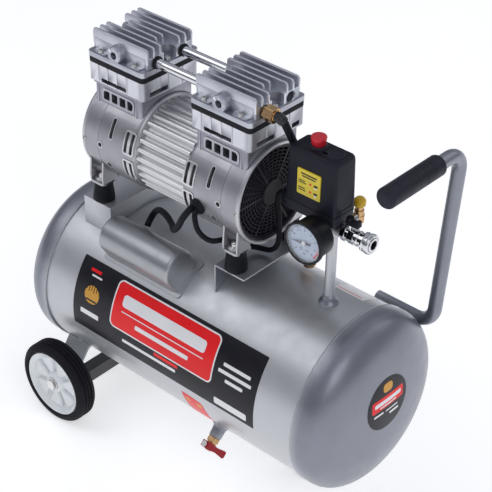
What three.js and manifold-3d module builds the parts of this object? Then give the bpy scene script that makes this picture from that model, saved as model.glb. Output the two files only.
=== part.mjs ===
// Twin-cylinder oil-free air compressor on a 25 litre tank, with two wheels and a grab handle.
// Millimetres, +Z up, +X towards the handle end, -Y towards the front.
// The origin is on the floor, under the middle of the tank. The pieces are laid out from the
// axis of the tank, and the whole assembly is then lifted by the height of that axis.
import * as THREE from 'three';
import Module from 'manifold-3d';
import { mergeVertices } from 'three/addons/utils/BufferGeometryUtils.js';

const wasm = await Module();
wasm.setup();

// ---------------------------------------------------------------- driving dimensions
const GAP = 0.3;              // clearance between pieces that touch
const AXIS_HEIGHT = 182;      // tank axis above the floor

const TANK = { radius: 125, wall: 2.5, seam: 228.5, shellEnd: 236, sides: 32 };
const TANK_HEAD = { radius: 127.3, inner: 125.3, skirtEnd: 238.5, tip: 289.5, wall: 2.2, power: 2.3 };
const TANK_CLEAR = TANK.radius + 0.7;   // radius that pieces resting on the tank are cut to

const RISER = { x: 179.6, radius: 7, bore: 4.5, bossRadius: 13, bossTop: 137, top: 229.2 };
const DRAIN = { x: 76, tilt: 45, bossRadius: 9.5, bossEnd: 143, bore: 5 };

const WHEEL = { x: -185.5, z: -119.5, radius: 62.5, width: 32, face: 160, rim: 50, bore: 6.6 };
const LEG = { x: -194, width: 42, sheet: 3, outerY: 125.5, bottomZ: -152 };
const CROSS_TUBE = { z: -139, size: 20, wall: 2 };
const FOOT = { x: 150, radius: 12, height: 17, postTop: -120, postWidth: 34 };

const MOTOR = { z: 247.7, middle: -55, barrelHalf: 41.6, housing: 98, radius: 70, inner: 66 };
const PUMP = { leftX: -146.5, rightX: 36, offset: 49 };       // cylinder centres along the motor
const STACK = {                                               // heights above the tank axis
  stepZ: 328.6, blockTop: 354.2, plateTop: 362.2, flangeTop: 369.5, valleyZ: 385.5, finTop: 399,
};
const BORE = { radius: 31, piston: 30.4, window: 28 };
const THROW = 8;                                              // crank throw, half the stroke
const PORT = { y: 24, z: 376, radius: 6.5 };                  // air ports in the sides of each head

const MOUNT = {
  y: 52.4, leftX: -176.5, rightX: 67, bottom: 150.5, top: 178, footRadius: 15, topRadius: 12.5,
};
const BRACKET = { width: 52, halfLength: 66, sheet: 2.5 };

const SWITCH = { x0: 116.5, x1: 195.5, y0: -20, y1: 22, baseZ: 251, splitZ: 266, topZ: 342 };
const KNOB = { x: 149, y: 2.5, radius: 10, bottom: 344.6, top: 356.4, stem: 4.5 };
const MANIFOLD = { z: 241.5, radius: 8.8 };
const GAUGE = { z: 244, face: -60, back: -27.8, radius: 29, dial: 25.5 };
const OUTLET = { start: 196.3, valveEnd: 212.6, couplerEnd: 243 };
const SAFETY = { y: 33, z: 241.5, top: 268 };

const HANDLE = {
  tube: 9.5, y: 122.9, z: 61, startX: 168, lowX: 259, topX: 275.5, topZ: 337, gripEndY: -27,
};
const GRIP = { radius: 13.8, startY: 73, endY: -34 };

const COVER = { x0: -137, x1: -8, half: 26.5, wallTop: 24, sheet: 1.5, tilt: 32.3, y: -65, z: 103.8 };
const GROMMET = { x: 14.5, angle: -15.5, radius: 11, from: 70.6, to: 76 };

// ---------------------------------------------------------------- materials
const material = (color, roughness, metalness) =>
  new THREE.MeshStandardMaterial({ color, roughness, metalness });
const FINISH = {
  tankPaint: material(0x8d9097, 0.38, 0.75),
  castAluminium: material(0x9a9ba3, 0.45, 0.85),
  satinAluminium: material(0xb4b0b0, 0.4, 0.85),
  plate: material(0xa6a9b0, 0.35, 0.85),
  chrome: material(0xc9ccd2, 0.15, 1.0),
  brass: material(0xc99662, 0.3, 1.0),
  steel: material(0x84868c, 0.4, 0.9),
  blackRubber: material(0x14151a, 0.75, 0.0),
  blackPlastic: material(0x20222f, 0.45, 0.0),
  blackSteel: material(0x17181d, 0.5, 0.3),
  whitePlastic: material(0xe1e5e8, 0.4, 0.0),
  redPlastic: material(0xeb3241, 0.35, 0.0),
  redVinyl: material(0x9c1c2c, 0.45, 0.0),
  yellowPlastic: material(0xe0b928, 0.4, 0.0),
  copper: material(0xa0643c, 0.4, 0.9),
};

// ---------------------------------------------------------------- solids
const rad = THREE.MathUtils.degToRad;

/** A closed three.js geometry as a manifold solid, with its faces turned outwards. */
function solid(geometry) {
  const bare = geometry.clone();
  for (const name of Object.keys(bare.attributes)) {
    if (name !== 'position') bare.deleteAttribute(name);
  }
  const merged = mergeVertices(bare, 1e-4);
  const points = merged.attributes.position;
  const index = merged.index.array;
  const triangles = [];
  let volume = 0;
  const corner = [new THREE.Vector3(), new THREE.Vector3(), new THREE.Vector3()];
  for (let i = 0; i < index.length; i += 3) {
    const [a, b, c] = [index[i], index[i + 1], index[i + 2]];
    if (a === b || b === c || c === a) continue;
    triangles.push(a, b, c);
    corner.forEach((v, k) => v.fromBufferAttribute(points, index[i + k]));
    volume += corner[0].dot(corner[1].clone().cross(corner[2]));
  }
  if (volume < 0) {
    for (let i = 0; i < triangles.length; i += 3) {
      [triangles[i + 1], triangles[i + 2]] = [triangles[i + 2], triangles[i + 1]];
    }
  }
  return new wasm.Manifold(new wasm.Mesh({
    numProp: 3,
    vertProperties: new Float32Array(points.array),
    triVerts: new Uint32Array(triangles),
  }));
}

/** A manifold solid as a three.js geometry. */
function geometryOf(manifold) {
  const mesh = manifold.getMesh();
  const geometry = new THREE.BufferGeometry();
  geometry.setAttribute('position', new THREE.BufferAttribute(new Float32Array(mesh.vertProperties), 3));
  geometry.setIndex(new THREE.BufferAttribute(new Uint32Array(mesh.triVerts), 1));
  geometry.computeVertexNormals();
  return geometry;
}

const join = (...solids) => solids.reduce((sum, next) => sum.add(next));
const cut = (body, ...tools) => tools.reduce((rest, tool) => rest.subtract(tool), body);

/** A box between two corners. */
function box(low, high) {
  const size = low.map((v, i) => high[i] - v);
  const middle = low.map((v, i) => (high[i] + v) / 2);
  return solid(new THREE.BoxGeometry(...size).translate(...middle));
}

/** Turns a geometry made along +Y so that it lies along the named axis. */
function alongAxis(geometry, axis) {
  if (axis === 'x') return geometry.rotateZ(-Math.PI / 2);
  if (axis === 'z') return geometry.rotateX(Math.PI / 2);
  return geometry;
}

/** A round bar along an axis from a to b; the two other coordinates of its axis follow. */
function bar(axis, a, b, radius, centre = [0, 0], sides = 24, endRadius = radius) {
  const geometry = new THREE.CylinderGeometry(endRadius, radius, b - a, sides);
  geometry.translate(0, (a + b) / 2, 0);
  alongAxis(geometry, axis);
  if (axis === 'x') geometry.translate(0, centre[0], centre[1]);
  if (axis === 'y') geometry.translate(centre[0], 0, centre[1]);
  if (axis === 'z') geometry.translate(centre[0], centre[1], 0);
  return solid(geometry);
}

/** A turned piece about an axis; the profile is [distance along the axis, radius] pairs. */
function turned(axis, profile, sides = 32, centre = [0, 0]) {
  const points = profile.map(([along, radius]) => new THREE.Vector2(radius, along));
  const closed = points[0].x === 0 && points[points.length - 1].x === 0;
  if (!closed) points.push(points[0].clone());
  const geometry = alongAxis(new THREE.LatheGeometry(points, sides), axis);
  if (axis === 'x') geometry.translate(0, centre[0], centre[1]);
  if (axis === 'y') geometry.translate(centre[0], 0, centre[1]);
  if (axis === 'z') geometry.translate(centre[0], centre[1], 0);
  return solid(geometry);
}

/** An outline in YZ pushed along +X from a to b. */
function pushX(outline, a, b) {
  const isShape = outline instanceof THREE.Shape;
  const shape = isShape ? outline : new THREE.Shape(outline.map((p) => new THREE.Vector2(...p)));
  const geometry = new THREE.ExtrudeGeometry(shape, { depth: b - a, bevelEnabled: false, curveSegments: 8 });
  const basis = new THREE.Matrix4().makeBasis(
    new THREE.Vector3(0, 1, 0), new THREE.Vector3(0, 0, 1), new THREE.Vector3(1, 0, 0));
  return solid(geometry.applyMatrix4(basis).translate(a, 0, 0));
}

/** An outline in XY pushed along +Z from a to b. */
function pushZ(shape, a, b, curveSegments = 5) {
  const geometry = new THREE.ExtrudeGeometry(shape, { depth: b - a, bevelEnabled: false, curveSegments });
  return solid(geometry.translate(0, 0, a));
}

/** A rectangle with round corners, centred on the origin. */
function roundRectangle(width, height, radius) {
  const [w, h] = [width / 2, height / 2];
  const shape = new THREE.Shape();
  shape.moveTo(-w + radius, -h);
  shape.lineTo(w - radius, -h);
  shape.absarc(w - radius, -h + radius, radius, -Math.PI / 2, 0);
  shape.lineTo(w, h - radius);
  shape.absarc(w - radius, h - radius, radius, 0, Math.PI / 2);
  shape.lineTo(-w + radius, h);
  shape.absarc(-w + radius, h - radius, radius, Math.PI / 2, Math.PI);
  shape.lineTo(-w, -h + radius);
  shape.absarc(-w + radius, -h + radius, radius, Math.PI, Math.PI * 1.5);
  return shape;
}

/** A round tube or cord of the given radius along a smooth curve through the points. */
function cord(points, radius, sides, steps) {
  const path = new THREE.CatmullRomCurve3(points.map((p) => new THREE.Vector3(...p)), false, 'centripetal');
  const ring = new THREE.Shape();
  for (let i = 0; i < sides; i += 1) {
    const angle = (i / sides) * Math.PI * 2;
    const [x, y] = [Math.cos(angle) * radius, Math.sin(angle) * radius];
    if (i === 0) ring.moveTo(x, y);
    else ring.lineTo(x, y);
  }
  return solid(new THREE.ExtrudeGeometry(ring, { steps, extrudePath: path, bevelEnabled: false }));
}

/** Points of a quarter turn between two directions, for a bent tube. */
function bendPoints(corner, from, to, radius, count = 5) {
  const centre = corner.clone().addScaledVector(from, -radius).addScaledVector(to, radius);
  const points = [];
  for (let i = 0; i <= count; i += 1) {
    const angle = (i / count) * (Math.PI / 2);
    points.push(centre.clone()
      .addScaledVector(to, -radius * Math.cos(angle))
      .addScaledVector(from, radius * Math.sin(angle))
      .toArray());
  }
  return points;
}

// ---------------------------------------------------------------- scene graph
const compressor = new THREE.Group();
const assembly = new THREE.Group();
assembly.position.z = AXIS_HEIGHT;
compressor.add(assembly);

function piece(name, body, finish, parent = assembly) {
  const mesh = new THREE.Mesh(geometryOf(body), finish.clone());
  mesh.name = name;
  parent.add(mesh);
  return mesh;
}

function group(x, y, z, parent = assembly) {
  const made = new THREE.Group();
  made.position.set(x, y, z);
  parent.add(made);
  return made;
}

// ---------------------------------------------------------------- tank
/** The direction straight out of the tank at the drain, and a bar along it. */
const drainTurn = new THREE.Matrix4().makeRotationX(rad(90 + DRAIN.tilt));
function drainBar(from, to, radius, sides = 24) {
  const geometry = alongAxis(new THREE.CylinderGeometry(radius, radius, to - from, sides), 'z');
  geometry.translate(0, 0, (from + to) / 2).applyMatrix4(drainTurn).translate(DRAIN.x, 0, 0);
  return solid(geometry);
}

function tankShell() {
  const inner = TANK.radius - TANK.wall;
  const tube = turned('x', [
    [-TANK.shellEnd, inner], [-TANK.shellEnd, TANK.radius],
    [TANK.shellEnd, TANK.radius], [TANK.shellEnd, inner],
  ], TANK.sides);
  const riserBoss = bar('z', inner, RISER.bossTop, RISER.bossRadius, [RISER.x, 0], 16);
  const riserHole = bar('z', inner - 10, RISER.bossTop + 1, RISER.radius + 0.5, [RISER.x, 0], 12);
  const drainBoss = drainBar(inner, DRAIN.bossEnd, DRAIN.bossRadius, 16);
  const drainHole = drainBar(inner - 10, DRAIN.bossEnd + 1, DRAIN.bore, 8);
  return cut(join(tube, riserBoss, drainBoss, footPost()), riserHole, drainHole);
}

/** The pressed post welded under the shell, which the front rubber foot is fixed to. */
function footPost() {
  const bottom = -AXIS_HEIGHT + FOOT.height + GAP;
  const taper = 2;
  const post = pushX([
    [-FOOT.radius, FOOT.postTop], [-FOOT.radius + taper, bottom],
    [FOOT.radius - taper, bottom], [FOOT.radius, FOOT.postTop],
  ], FOOT.x - FOOT.postWidth / 2, FOOT.x + FOOT.postWidth / 2);
  return cut(post, bar('x', -TANK.seam, TANK.seam, TANK.radius - TANK.wall / 2, [0, 0], TANK.sides));
}

/** One dished end. The inside is open towards the shell that it laps over. */
function tankHead() {
  const { radius, inner, skirtEnd, tip, wall, power } = TANK_HEAD;
  const dome = (along, depth, r) => r * (1 - (along / depth) ** power) ** (1 / power);
  const profile = [];
  const [outerSteps, innerSteps] = [5, 2];
  const bulge = (i, count) => Math.sin((i / count) * (Math.PI / 2)) ** 0.85;
  for (let i = innerSteps; i >= 0; i -= 1) {
    const depth = tip - wall - skirtEnd;
    const along = depth * bulge(i, innerSteps);
    profile.push([skirtEnd + along, i === innerSteps ? 0 : dome(along, depth, inner)]);
  }
  profile.push([TANK.seam, inner], [TANK.seam, radius]);
  for (let i = 0; i <= outerSteps; i += 1) {
    const depth = tip - skirtEnd;
    const along = depth * bulge(i, outerSteps);
    profile.push([skirtEnd + along, i === outerSteps ? 0 : dome(along, depth, radius)]);
  }
  return turned('x', profile, TANK.sides);
}

piece('tank_shell', tankShell(), FINISH.tankPaint);
piece('tank_head_right', tankHead(), FINISH.tankPaint);
piece('tank_head_left', tankHead(), FINISH.tankPaint).rotation.z = Math.PI;

// ---------------------------------------------------------------- legs, wheels and front foot
const tankCutter = (margin = 0) =>
  bar('x', -300, 300, TANK_CLEAR + margin, [0, 0], 72);

/** A folded sheet leg with the wheel's stub axle on it, for the front side of the tank. */
function wheelLeg() {
  const out = -LEG.outerY;
  const inn = out + LEG.sheet;
  const slope = 0.7;                            // sideways travel of the leaning part per height
  const kneeZ = -118;
  const rise = 42;
  const lip = 12;
  const sheet = pushX([
    [out, LEG.bottomZ], [out, kneeZ], [out + rise * slope, kneeZ + rise],
    [inn + rise * slope + 1, kneeZ + rise - 1], [inn, kneeZ - 1.5], [inn, LEG.bottomZ + LEG.sheet],
    [inn + lip, LEG.bottomZ + LEG.sheet], [inn + lip, LEG.bottomZ],
  ], LEG.x - LEG.width / 2, LEG.x + LEG.width / 2);
  const spindle = bar('y', -WHEEL.face - 4, out + 1, 6, [WHEEL.x, WHEEL.z], 16);
  const spacer = bar('y', out - 4.5, out + 1, 9, [WHEEL.x, WHEEL.z], 16);
  const bolt = bar('y', -WHEEL.face - 5, -WHEEL.face + 0.5, 9.5, [WHEEL.x, WHEEL.z], 6);
  return join(cut(sheet, tankCutter()), spindle, spacer, bolt);
}
piece('wheel_leg_front', wheelLeg(), FINISH.tankPaint);
piece('wheel_leg_rear', wheelLeg().mirror([0, 1, 0]), FINISH.tankPaint);

const crossHalf = LEG.outerY - LEG.sheet - GAP;
const crossOuter = box(
  [WHEEL.x - CROSS_TUBE.size / 2, -crossHalf, CROSS_TUBE.z - CROSS_TUBE.size / 2],
  [WHEEL.x + CROSS_TUBE.size / 2, crossHalf, CROSS_TUBE.z + CROSS_TUBE.size / 2]);
const crossHole = CROSS_TUBE.size / 2 - CROSS_TUBE.wall;
const crossInner = box(
  [WHEEL.x - crossHole, -crossHalf - 1, CROSS_TUBE.z - crossHole],
  [WHEEL.x + crossHole, crossHalf + 1, CROSS_TUBE.z + crossHole]);
piece('cross_tube', cut(crossOuter, crossInner), FINISH.blackSteel);

/** The hub is a dished disc with a rim on each side of it and a plain bore. */
function wheelHub() {
  const { rim, bore, face } = WHEEL;
  return turned('y', [
    [-face + 1, bore], [-face + 1, 15], [-face + 9, 19], [-face + 9, 38], [-face, 45],
    [-face, rim - GAP], [-face + 27, rim - GAP], [-face + 27, rim - 4],
    [-face + 15, 40], [-face + 17, 16], [-face + 29, 15], [-face + 29, bore],
  ], 24);
}

/** A solid rubber tyre with round shoulders. */
function tyre() {
  const { rim, radius, face, width } = WHEEL;
  const out = -face - 3;
  return turned('y', [
    [out, rim], [out, radius - 6], [out + 5.5, radius],
    [out + width - 5.5, radius], [out + width, radius - 6], [out + width, rim],
  ], 24);
}

const wheelFront = group(WHEEL.x, 0, WHEEL.z);
piece('wheel_hub_front', wheelHub(), FINISH.whitePlastic, wheelFront);
piece('tyre_front', tyre(), FINISH.blackRubber, wheelFront);
const wheelRear = group(WHEEL.x, 0, WHEEL.z);
wheelRear.rotation.z = Math.PI;
piece('wheel_hub_rear', wheelHub(), FINISH.whitePlastic, wheelRear);
piece('tyre_rear', tyre(), FINISH.blackRubber, wheelRear);

piece('front_rubber_foot', turned('z', [
  [-AXIS_HEIGHT, 0], [-AXIS_HEIGHT, FOOT.radius - 1.5], [-AXIS_HEIGHT + 3, FOOT.radius],
  [-AXIS_HEIGHT + FOOT.height, FOOT.radius - 1], [-AXIS_HEIGHT + FOOT.height, 0],
], 20, [FOOT.x, 0]), FINISH.blackRubber);

// ---------------------------------------------------------------- handle
function handleTube() {
  const { y, z, startX, lowX, topX, topZ, gripEndY } = HANDLE;
  const along = new THREE.Vector3(1, 0, 0);
  const up = new THREE.Vector3(topX - lowX, 0, topZ - z).normalize();
  const forward = new THREE.Vector3(0, -1, 0);
  const low = bendPoints(new THREE.Vector3(lowX, y, z), along, up, 27);
  const high = bendPoints(new THREE.Vector3(topX, y, topZ), up, forward, 30);
  const onGrip = (atY) => [topX, atY, topZ];
  return cord([
    [startX, y, z], [startX + 30, y, z], ...low, ...high,
    onGrip(86), onGrip(76), onGrip(40), onGrip(gripEndY),
  ], HANDLE.tube, 8, 26);
}
piece('handle_tube', handleTube(), FINISH.tankPaint);

function handleGrip() {
  const length = GRIP.startY - GRIP.endY;
  const inner = HANDLE.tube + 0.6;
  const hollow = length - 4;
  return turned('z', [
    [0, inner], [0, GRIP.radius - 1], [1, GRIP.radius], [length - 4, GRIP.radius],
    [length, GRIP.radius - 4], [length, 0], [hollow, 0], [hollow, inner],
  ], 16);
}
const gripGroup = group(HANDLE.topX, GRIP.startY, HANDLE.topZ);
gripGroup.rotation.x = rad(90);
piece('handle_grip', handleGrip(), FINISH.blackRubber, gripGroup);

// ---------------------------------------------------------------- motor brackets and mounts
/** A sheet channel across the tank, its two legs cut to the curve of the tank. */
function motorBracket(x, closedFront) {
  const { width, halfLength, sheet } = BRACKET;
  const top = MOUNT.bottom - GAP;
  const outer = box([x - width / 2, -halfLength, 100], [x + width / 2, halfLength, top]);
  const front = closedFront ? -halfLength + sheet : -halfLength - 1;
  const rightWall = closedFront ? -sheet : 1;
  const inner = box([x - width / 2 + sheet, front, 90],
    [x + width / 2 + rightWall, halfLength + 1, top - sheet]);
  return cut(outer, inner, tankCutter());
}
piece('motor_bracket_left', motorBracket(MOUNT.leftX, true), FINISH.tankPaint);
piece('motor_bracket_right', motorBracket(MOUNT.rightX, false), FINISH.tankPaint);

const mountPlaces = {
  rubber_mount_left_front: [MOUNT.leftX, -MOUNT.y],
  rubber_mount_left_rear: [MOUNT.leftX, MOUNT.y],
  rubber_mount_right_front: [MOUNT.rightX, -MOUNT.y],
  rubber_mount_right_rear: [MOUNT.rightX, MOUNT.y],
};
const mountHeight = MOUNT.top - MOUNT.bottom;
for (const [name, [x, y]] of Object.entries(mountPlaces)) {
  const rubber = turned('z', [
    [0, 0], [0, MOUNT.footRadius], [mountHeight * 0.35, MOUNT.footRadius],
    [mountHeight, MOUNT.topRadius], [mountHeight, 0],
  ], 16);
  piece(name, rubber, FINISH.blackRubber, group(x, y, MOUNT.bottom));
}

// ---------------------------------------------------------------- motor housing
// Local frame of a housing: the motor axis, x = 0 at the end that meets the stator barrel.
const LUG = { x: 79.7, half: 13, bottom: MOUNT.top + GAP - MOTOR.z, pad: 4.5 };

/** A cutter for a vent that runs around the housing between two angles above the horizontal. */
function ventCutter(x, width, fromAngle, toAngle, side) {
  const shape = new THREE.Shape();
  const steps = 1;
  const [near, far] = [MOTOR.inner - 3, MOTOR.radius + 3];
  for (let i = 0; i <= steps; i += 1) {
    const angle = rad(fromAngle + ((toAngle - fromAngle) * i) / steps);
    const point = [side * Math.cos(angle) * far, Math.sin(angle) * far];
    if (i === 0) shape.moveTo(...point);
    else shape.lineTo(...point);
  }
  for (let i = steps; i >= 0; i -= 1) {
    const angle = rad(fromAngle + ((toAngle - fromAngle) * i) / steps);
    shape.lineTo(side * Math.cos(angle) * near, Math.sin(angle) * near);
  }
  return pushX(shape, x - width / 2, x + width / 2);
}

function crankcase() {
  const { radius, inner, housing } = MOTOR;
  const sides = 32;
  let body = turned('x', [
    [0, 9], [0, radius - 5], [5, radius], [housing - 5, radius], [housing, radius - 1.5],
    [housing, inner], [5, inner], [5, 9],
  ], sides);
  for (const side of [-1, 1]) {
    const pad = box([LUG.x - LUG.half, side * MOUNT.y - 12, LUG.bottom],
      [LUG.x + LUG.half, side * MOUNT.y + 12, LUG.bottom + LUG.pad]);
    const [low, high] = [Math.min(side * 38, side * 64), Math.max(side * 38, side * 64)];
    const rib = box([LUG.x + LUG.half - 3, low, LUG.bottom], [LUG.x + LUG.half, high, -25]);
    const innerRib = box([LUG.x - LUG.half, low, LUG.bottom], [LUG.x - LUG.half + 3, high, -25]);
    const hollow = bar('x', -1, housing + 1, inner + 1, [0, 0], sides);
    body = join(body, cut(join(pad, rib, innerRib), hollow));
  }
  const rodWindow = bar('z', 0, radius + 5, BORE.window, [PUMP.offset, 0], 16);
  body = cut(body, rodWindow);
  for (const side of [-1, 1]) {
    const vents = [
      ventCutter(43.5, 5, 13.5, 37, side),
      ventCutter(17, 5, 6.5, 30, side), ventCutter(7.5, 5, 6.5, 30, side),
      ventCutter(17, 5, -25, -3, side), ventCutter(7.5, 5, -25, -3, side),
    ];
    body = cut(body, ...vents);
  }
  return body;
}
const housingRight = group(MOTOR.middle + MOTOR.barrelHalf + GAP, 0, MOTOR.z);
const housingLeft = group(MOTOR.middle - MOTOR.barrelHalf - GAP, 0, MOTOR.z);
housingLeft.rotation.z = Math.PI;
piece('crankcase_right', crankcase(), FINISH.satinAluminium, housingRight);
piece('crankcase_left', crankcase(), FINISH.satinAluminium, housingLeft);

/** The round guard in the mouth of a housing: a hub and a rim joined by eight spokes. */
function fanGuard() {
  const [radius, sides, windows] = [MOTOR.inner - 0.6, 32, 8];
  const [windowInner, windowOuter] = [19, 58];
  const at = (angle, r) => new THREE.Vector2(Math.cos(angle) * r, Math.sin(angle) * r);
  const rim = Array.from({ length: sides }, (_, i) => at((i / sides) * Math.PI * 2, radius));
  const shape = new THREE.Shape(rim);
  for (let i = 0; i < windows; i += 1) {
    const spoke = 0.08;                         // half a spoke as a share of the window's turn
    const [start, end] = [i + spoke, i + 1 - spoke].map((step) => (step / windows) * Math.PI * 2);
    shape.holes.push(new THREE.Path([
      at(start, windowOuter), at(end, windowOuter), at(end, windowInner), at(start, windowInner),
    ]));
  }
  return pushX(shape, MOTOR.housing - 7, MOTOR.housing - 4);
}
piece('fan_guard_right', fanGuard(), FINISH.blackPlastic, housingRight);
piece('fan_guard_left', fanGuard(), FINISH.blackPlastic, housingLeft);

/** The finned barrel around the stator, an extruded section. */
function statorBarrel() {
  const fins = 32;
  const [rootRadius, tipRadius] = [60, 66.5];
  const shape = new THREE.Shape();
  for (let i = 0; i < fins; i += 1) {
    const pitch = (Math.PI * 2) / fins;
    const corners = [[0.0, rootRadius], [0.5, rootRadius], [0.58, tipRadius], [0.92, tipRadius]];
    corners.forEach(([part, radius], k) => {
      const angle = (i + part) * pitch;
      const [x, y] = [Math.cos(angle) * radius, Math.sin(angle) * radius];
      if (i === 0 && k === 0) shape.moveTo(x, y);
      else shape.lineTo(x, y);
    });
  }
  const hole = bar('x', -MOTOR.barrelHalf - 1, MOTOR.barrelHalf + 1, 56);
  return cut(pushX(shape, -MOTOR.barrelHalf, MOTOR.barrelHalf), hole);
}
const motorMiddle = group(MOTOR.middle, 0, MOTOR.z);
piece('stator_barrel', statorBarrel(), FINISH.castAluminium, motorMiddle);
const statorRing = turned('x', [[-30, 36], [-30, 54.5], [30, 54.5], [30, 36]], 24);
piece('stator_core', statorRing, FINISH.copper, motorMiddle);

// ---------------------------------------------------------------- crankshaft and fans
/** One shaft carries the rotor, both crank throws and both fans. */
function crankshaft() {
  const length = MOTOR.barrelHalf + MOTOR.housing - 9;
  const shaft = bar('x', -length, length, 8, [0, 0], 12);
  const rotor = bar('x', -30, 30, 34.5, [0, 0], 20);
  const throwX = MOTOR.barrelHalf + PUMP.offset;
  const right = bar('x', throwX - 8, throwX + 8, 14, [-THROW, 0], 12);
  const left = bar('x', -throwX - 8, -throwX + 8, 14, [THROW, 0], 12);
  return join(shaft, rotor, right, left);
}
piece('crankshaft', crankshaft(), FINISH.steel, motorMiddle);

/** An axial fan: a hub with seven pitched blades, in a frame with x along the shaft. */
function fan() {
  const blades = 7;
  const thickness = 10;
  let body = bar('x', 0, thickness, 17, [0, 0], 16);
  for (let i = 0; i < blades; i += 1) {
    const blade = new THREE.BoxGeometry(2, 13, 44).rotateZ(rad(38)).translate(thickness / 2, 0, 36);
    body = body.add(solid(blade.rotateX((i / blades) * Math.PI * 2)));
  }
  return cut(body, bar('x', -6, thickness + 6, 8 + GAP, [0, 0], 12));
}
const fanOffset = MOTOR.barrelHalf + MOTOR.housing - 24;
piece('fan_right', fan(), FINISH.blackPlastic, group(fanOffset, 0, 0, motorMiddle));
const leftFan = group(-fanOffset, 0, 0, motorMiddle);
leftFan.rotation.z = Math.PI;
piece('fan_left', fan(), FINISH.blackPlastic, leftFan);

// ---------------------------------------------------------------- cylinders, pistons and heads
/** The cylinder with its flared air jacket, carved below to sit on the crankcase. */
function cylinderBlock() {
  const [neckX, neckY] = [42.5, 48];
  const neck = box([-neckX, -neckY, 285], [neckX, neckY, STACK.stepZ + 1]);
  const upper = pushZ(roundRectangle(100, 102, 5), STACK.stepZ, STACK.blockTop, 3);
  const seat = bar('x', -80, 80, MOTOR.radius + 0.7, [0, MOTOR.z], 40);
  const bore = bar('z', 270, STACK.blockTop + 1, BORE.radius, [0, 0], 20);
  let body = cut(join(neck, upper), seat, bore);
  for (const side of [-1, 1]) {
    const [outY, inY] = [side * 60, side * 38];
    const [y0, y1] = [Math.min(outY, inY), Math.max(outY, inY)];
    for (const [x0, x1] of [[-26, -15], [-11, -0.5], [3.5, 14.3], [18, 27.5]]) {
      body = body.subtract(box([x0, y0, 305.5], [x1, y1, 318]));
    }
    body = body.subtract(box([-26.5, side > 0 ? 40 : -60, 331], [19.5, side > 0 ? 60 : -40, 336.5]));
    body = body.subtract(box([side > 0 ? 38 : -60, -39, 331], [side > 0 ? 60 : -38, -6, 336.5]));
  }
  return body;
}

/** Wobble piston: head and rod in one, ending in a half bearing over the crank throw. */
function pistonRod() {
  const [crownBottom, crownTop] = [336, 345.5];
  const crown = bar('z', crownBottom, crownTop, BORE.piston - 0.4, [0, 0], 20);
  const rod = box([-6, -8, 281], [6, 8, crownBottom + 1]);
  const saddleOuter = bar('x', -7, 7, 37, [0, MOTOR.z], 20);
  const saddleInner = bar('x', -8, 8, 31.5, [0, MOTOR.z], 20);
  const below = box([-9, -50, 190], [9, 50, 264]);
  return join(crown, rod, cut(saddleOuter, saddleInner, below));
}

function cylinderHead() {
  const { plateTop, flangeTop, valleyZ, finTop } = STACK;
  const [half, side] = [49.5, 42];
  const flange = pushZ(roundRectangle(102, 104, 6), plateTop + GAP, flangeTop, 3);
  let body = join(flange, box([-half, -side, flangeTop - 1], [half, side, valleyZ]));
  const fins = 8;
  const pitch = 11.4;
  for (let i = 0; i < fins; i += 1) {
    const y = (i - (fins - 1) / 2) * pitch;
    const middle = i === 3 || i === 4;
    const reach = middle ? half - 17 : half;
    const edge = 4;
    const outline = new THREE.Shape([
      new THREE.Vector2(-reach, valleyZ - 1), new THREE.Vector2(reach, valleyZ - 1),
      new THREE.Vector2(reach, finTop - edge), new THREE.Vector2(reach - edge, finTop),
      new THREE.Vector2(-reach + edge, finTop), new THREE.Vector2(-reach, finTop - edge),
    ]);
    const fin = new THREE.ExtrudeGeometry(outline, { depth: 5, bevelEnabled: false });
    body = body.add(solid(fin.rotateX(Math.PI / 2).translate(0, y + 2.5, 0)));
  }
  for (const end of [-1, 1]) {
    const recess = bar('z', flangeTop, finTop + 1, 11.5, [end * (half - 4), 0], 8);
    const mouth = box([end > 0 ? half - 4 : -half - 5, -10.6, flangeTop],
      [end > 0 ? half + 5 : -half + 4, 10.6, finTop + 1]);
    body = cut(body, recess, mouth);
    const [from, to] = end > 0 ? [half - 12, half + 1] : [-half - 1, -half + 12];
    for (const y of [-PORT.y, PORT.y]) {
      body = body.subtract(bar('x', from, to, 7.2, [y, PORT.z], 10));
    }
  }
  const boss = bar('y', -52, -side + 1, 11.5, [-1.5, 377.5], 16);
  const bossHole = bar('y', -53, -44, 5.2, [-1.5, 377.5], 10);
  return cut(body.add(boss), bossHole);
}

for (const [side, x] of [['left', PUMP.leftX], ['right', PUMP.rightX]]) {
  const column = group(x, 0, 0);
  piece(`cylinder_block_${side}`, cylinderBlock(), FINISH.castAluminium, column);
  piece(`piston_rod_${side}`, pistonRod(), FINISH.steel, column);
  const plate = pushZ(roundRectangle(102, 105, 7), STACK.blockTop + GAP, STACK.plateTop, 3);
  piece(`valve_plate_${side}`, plate, FINISH.blackPlastic, column);
  piece(`cylinder_head_${side}`, cylinderHead(), FINISH.castAluminium, column);
}

const pipeFrom = PUMP.leftX + 49.5 - 8;
const pipeTo = PUMP.rightX - 49.5 + 8;
for (const [name, y] of [['transfer_pipe_front', -PORT.y], ['transfer_pipe_rear', PORT.y]]) {
  piece(name, bar('x', pipeFrom, pipeTo, PORT.radius, [y, PORT.z], 10), FINISH.chrome);
}

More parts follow.
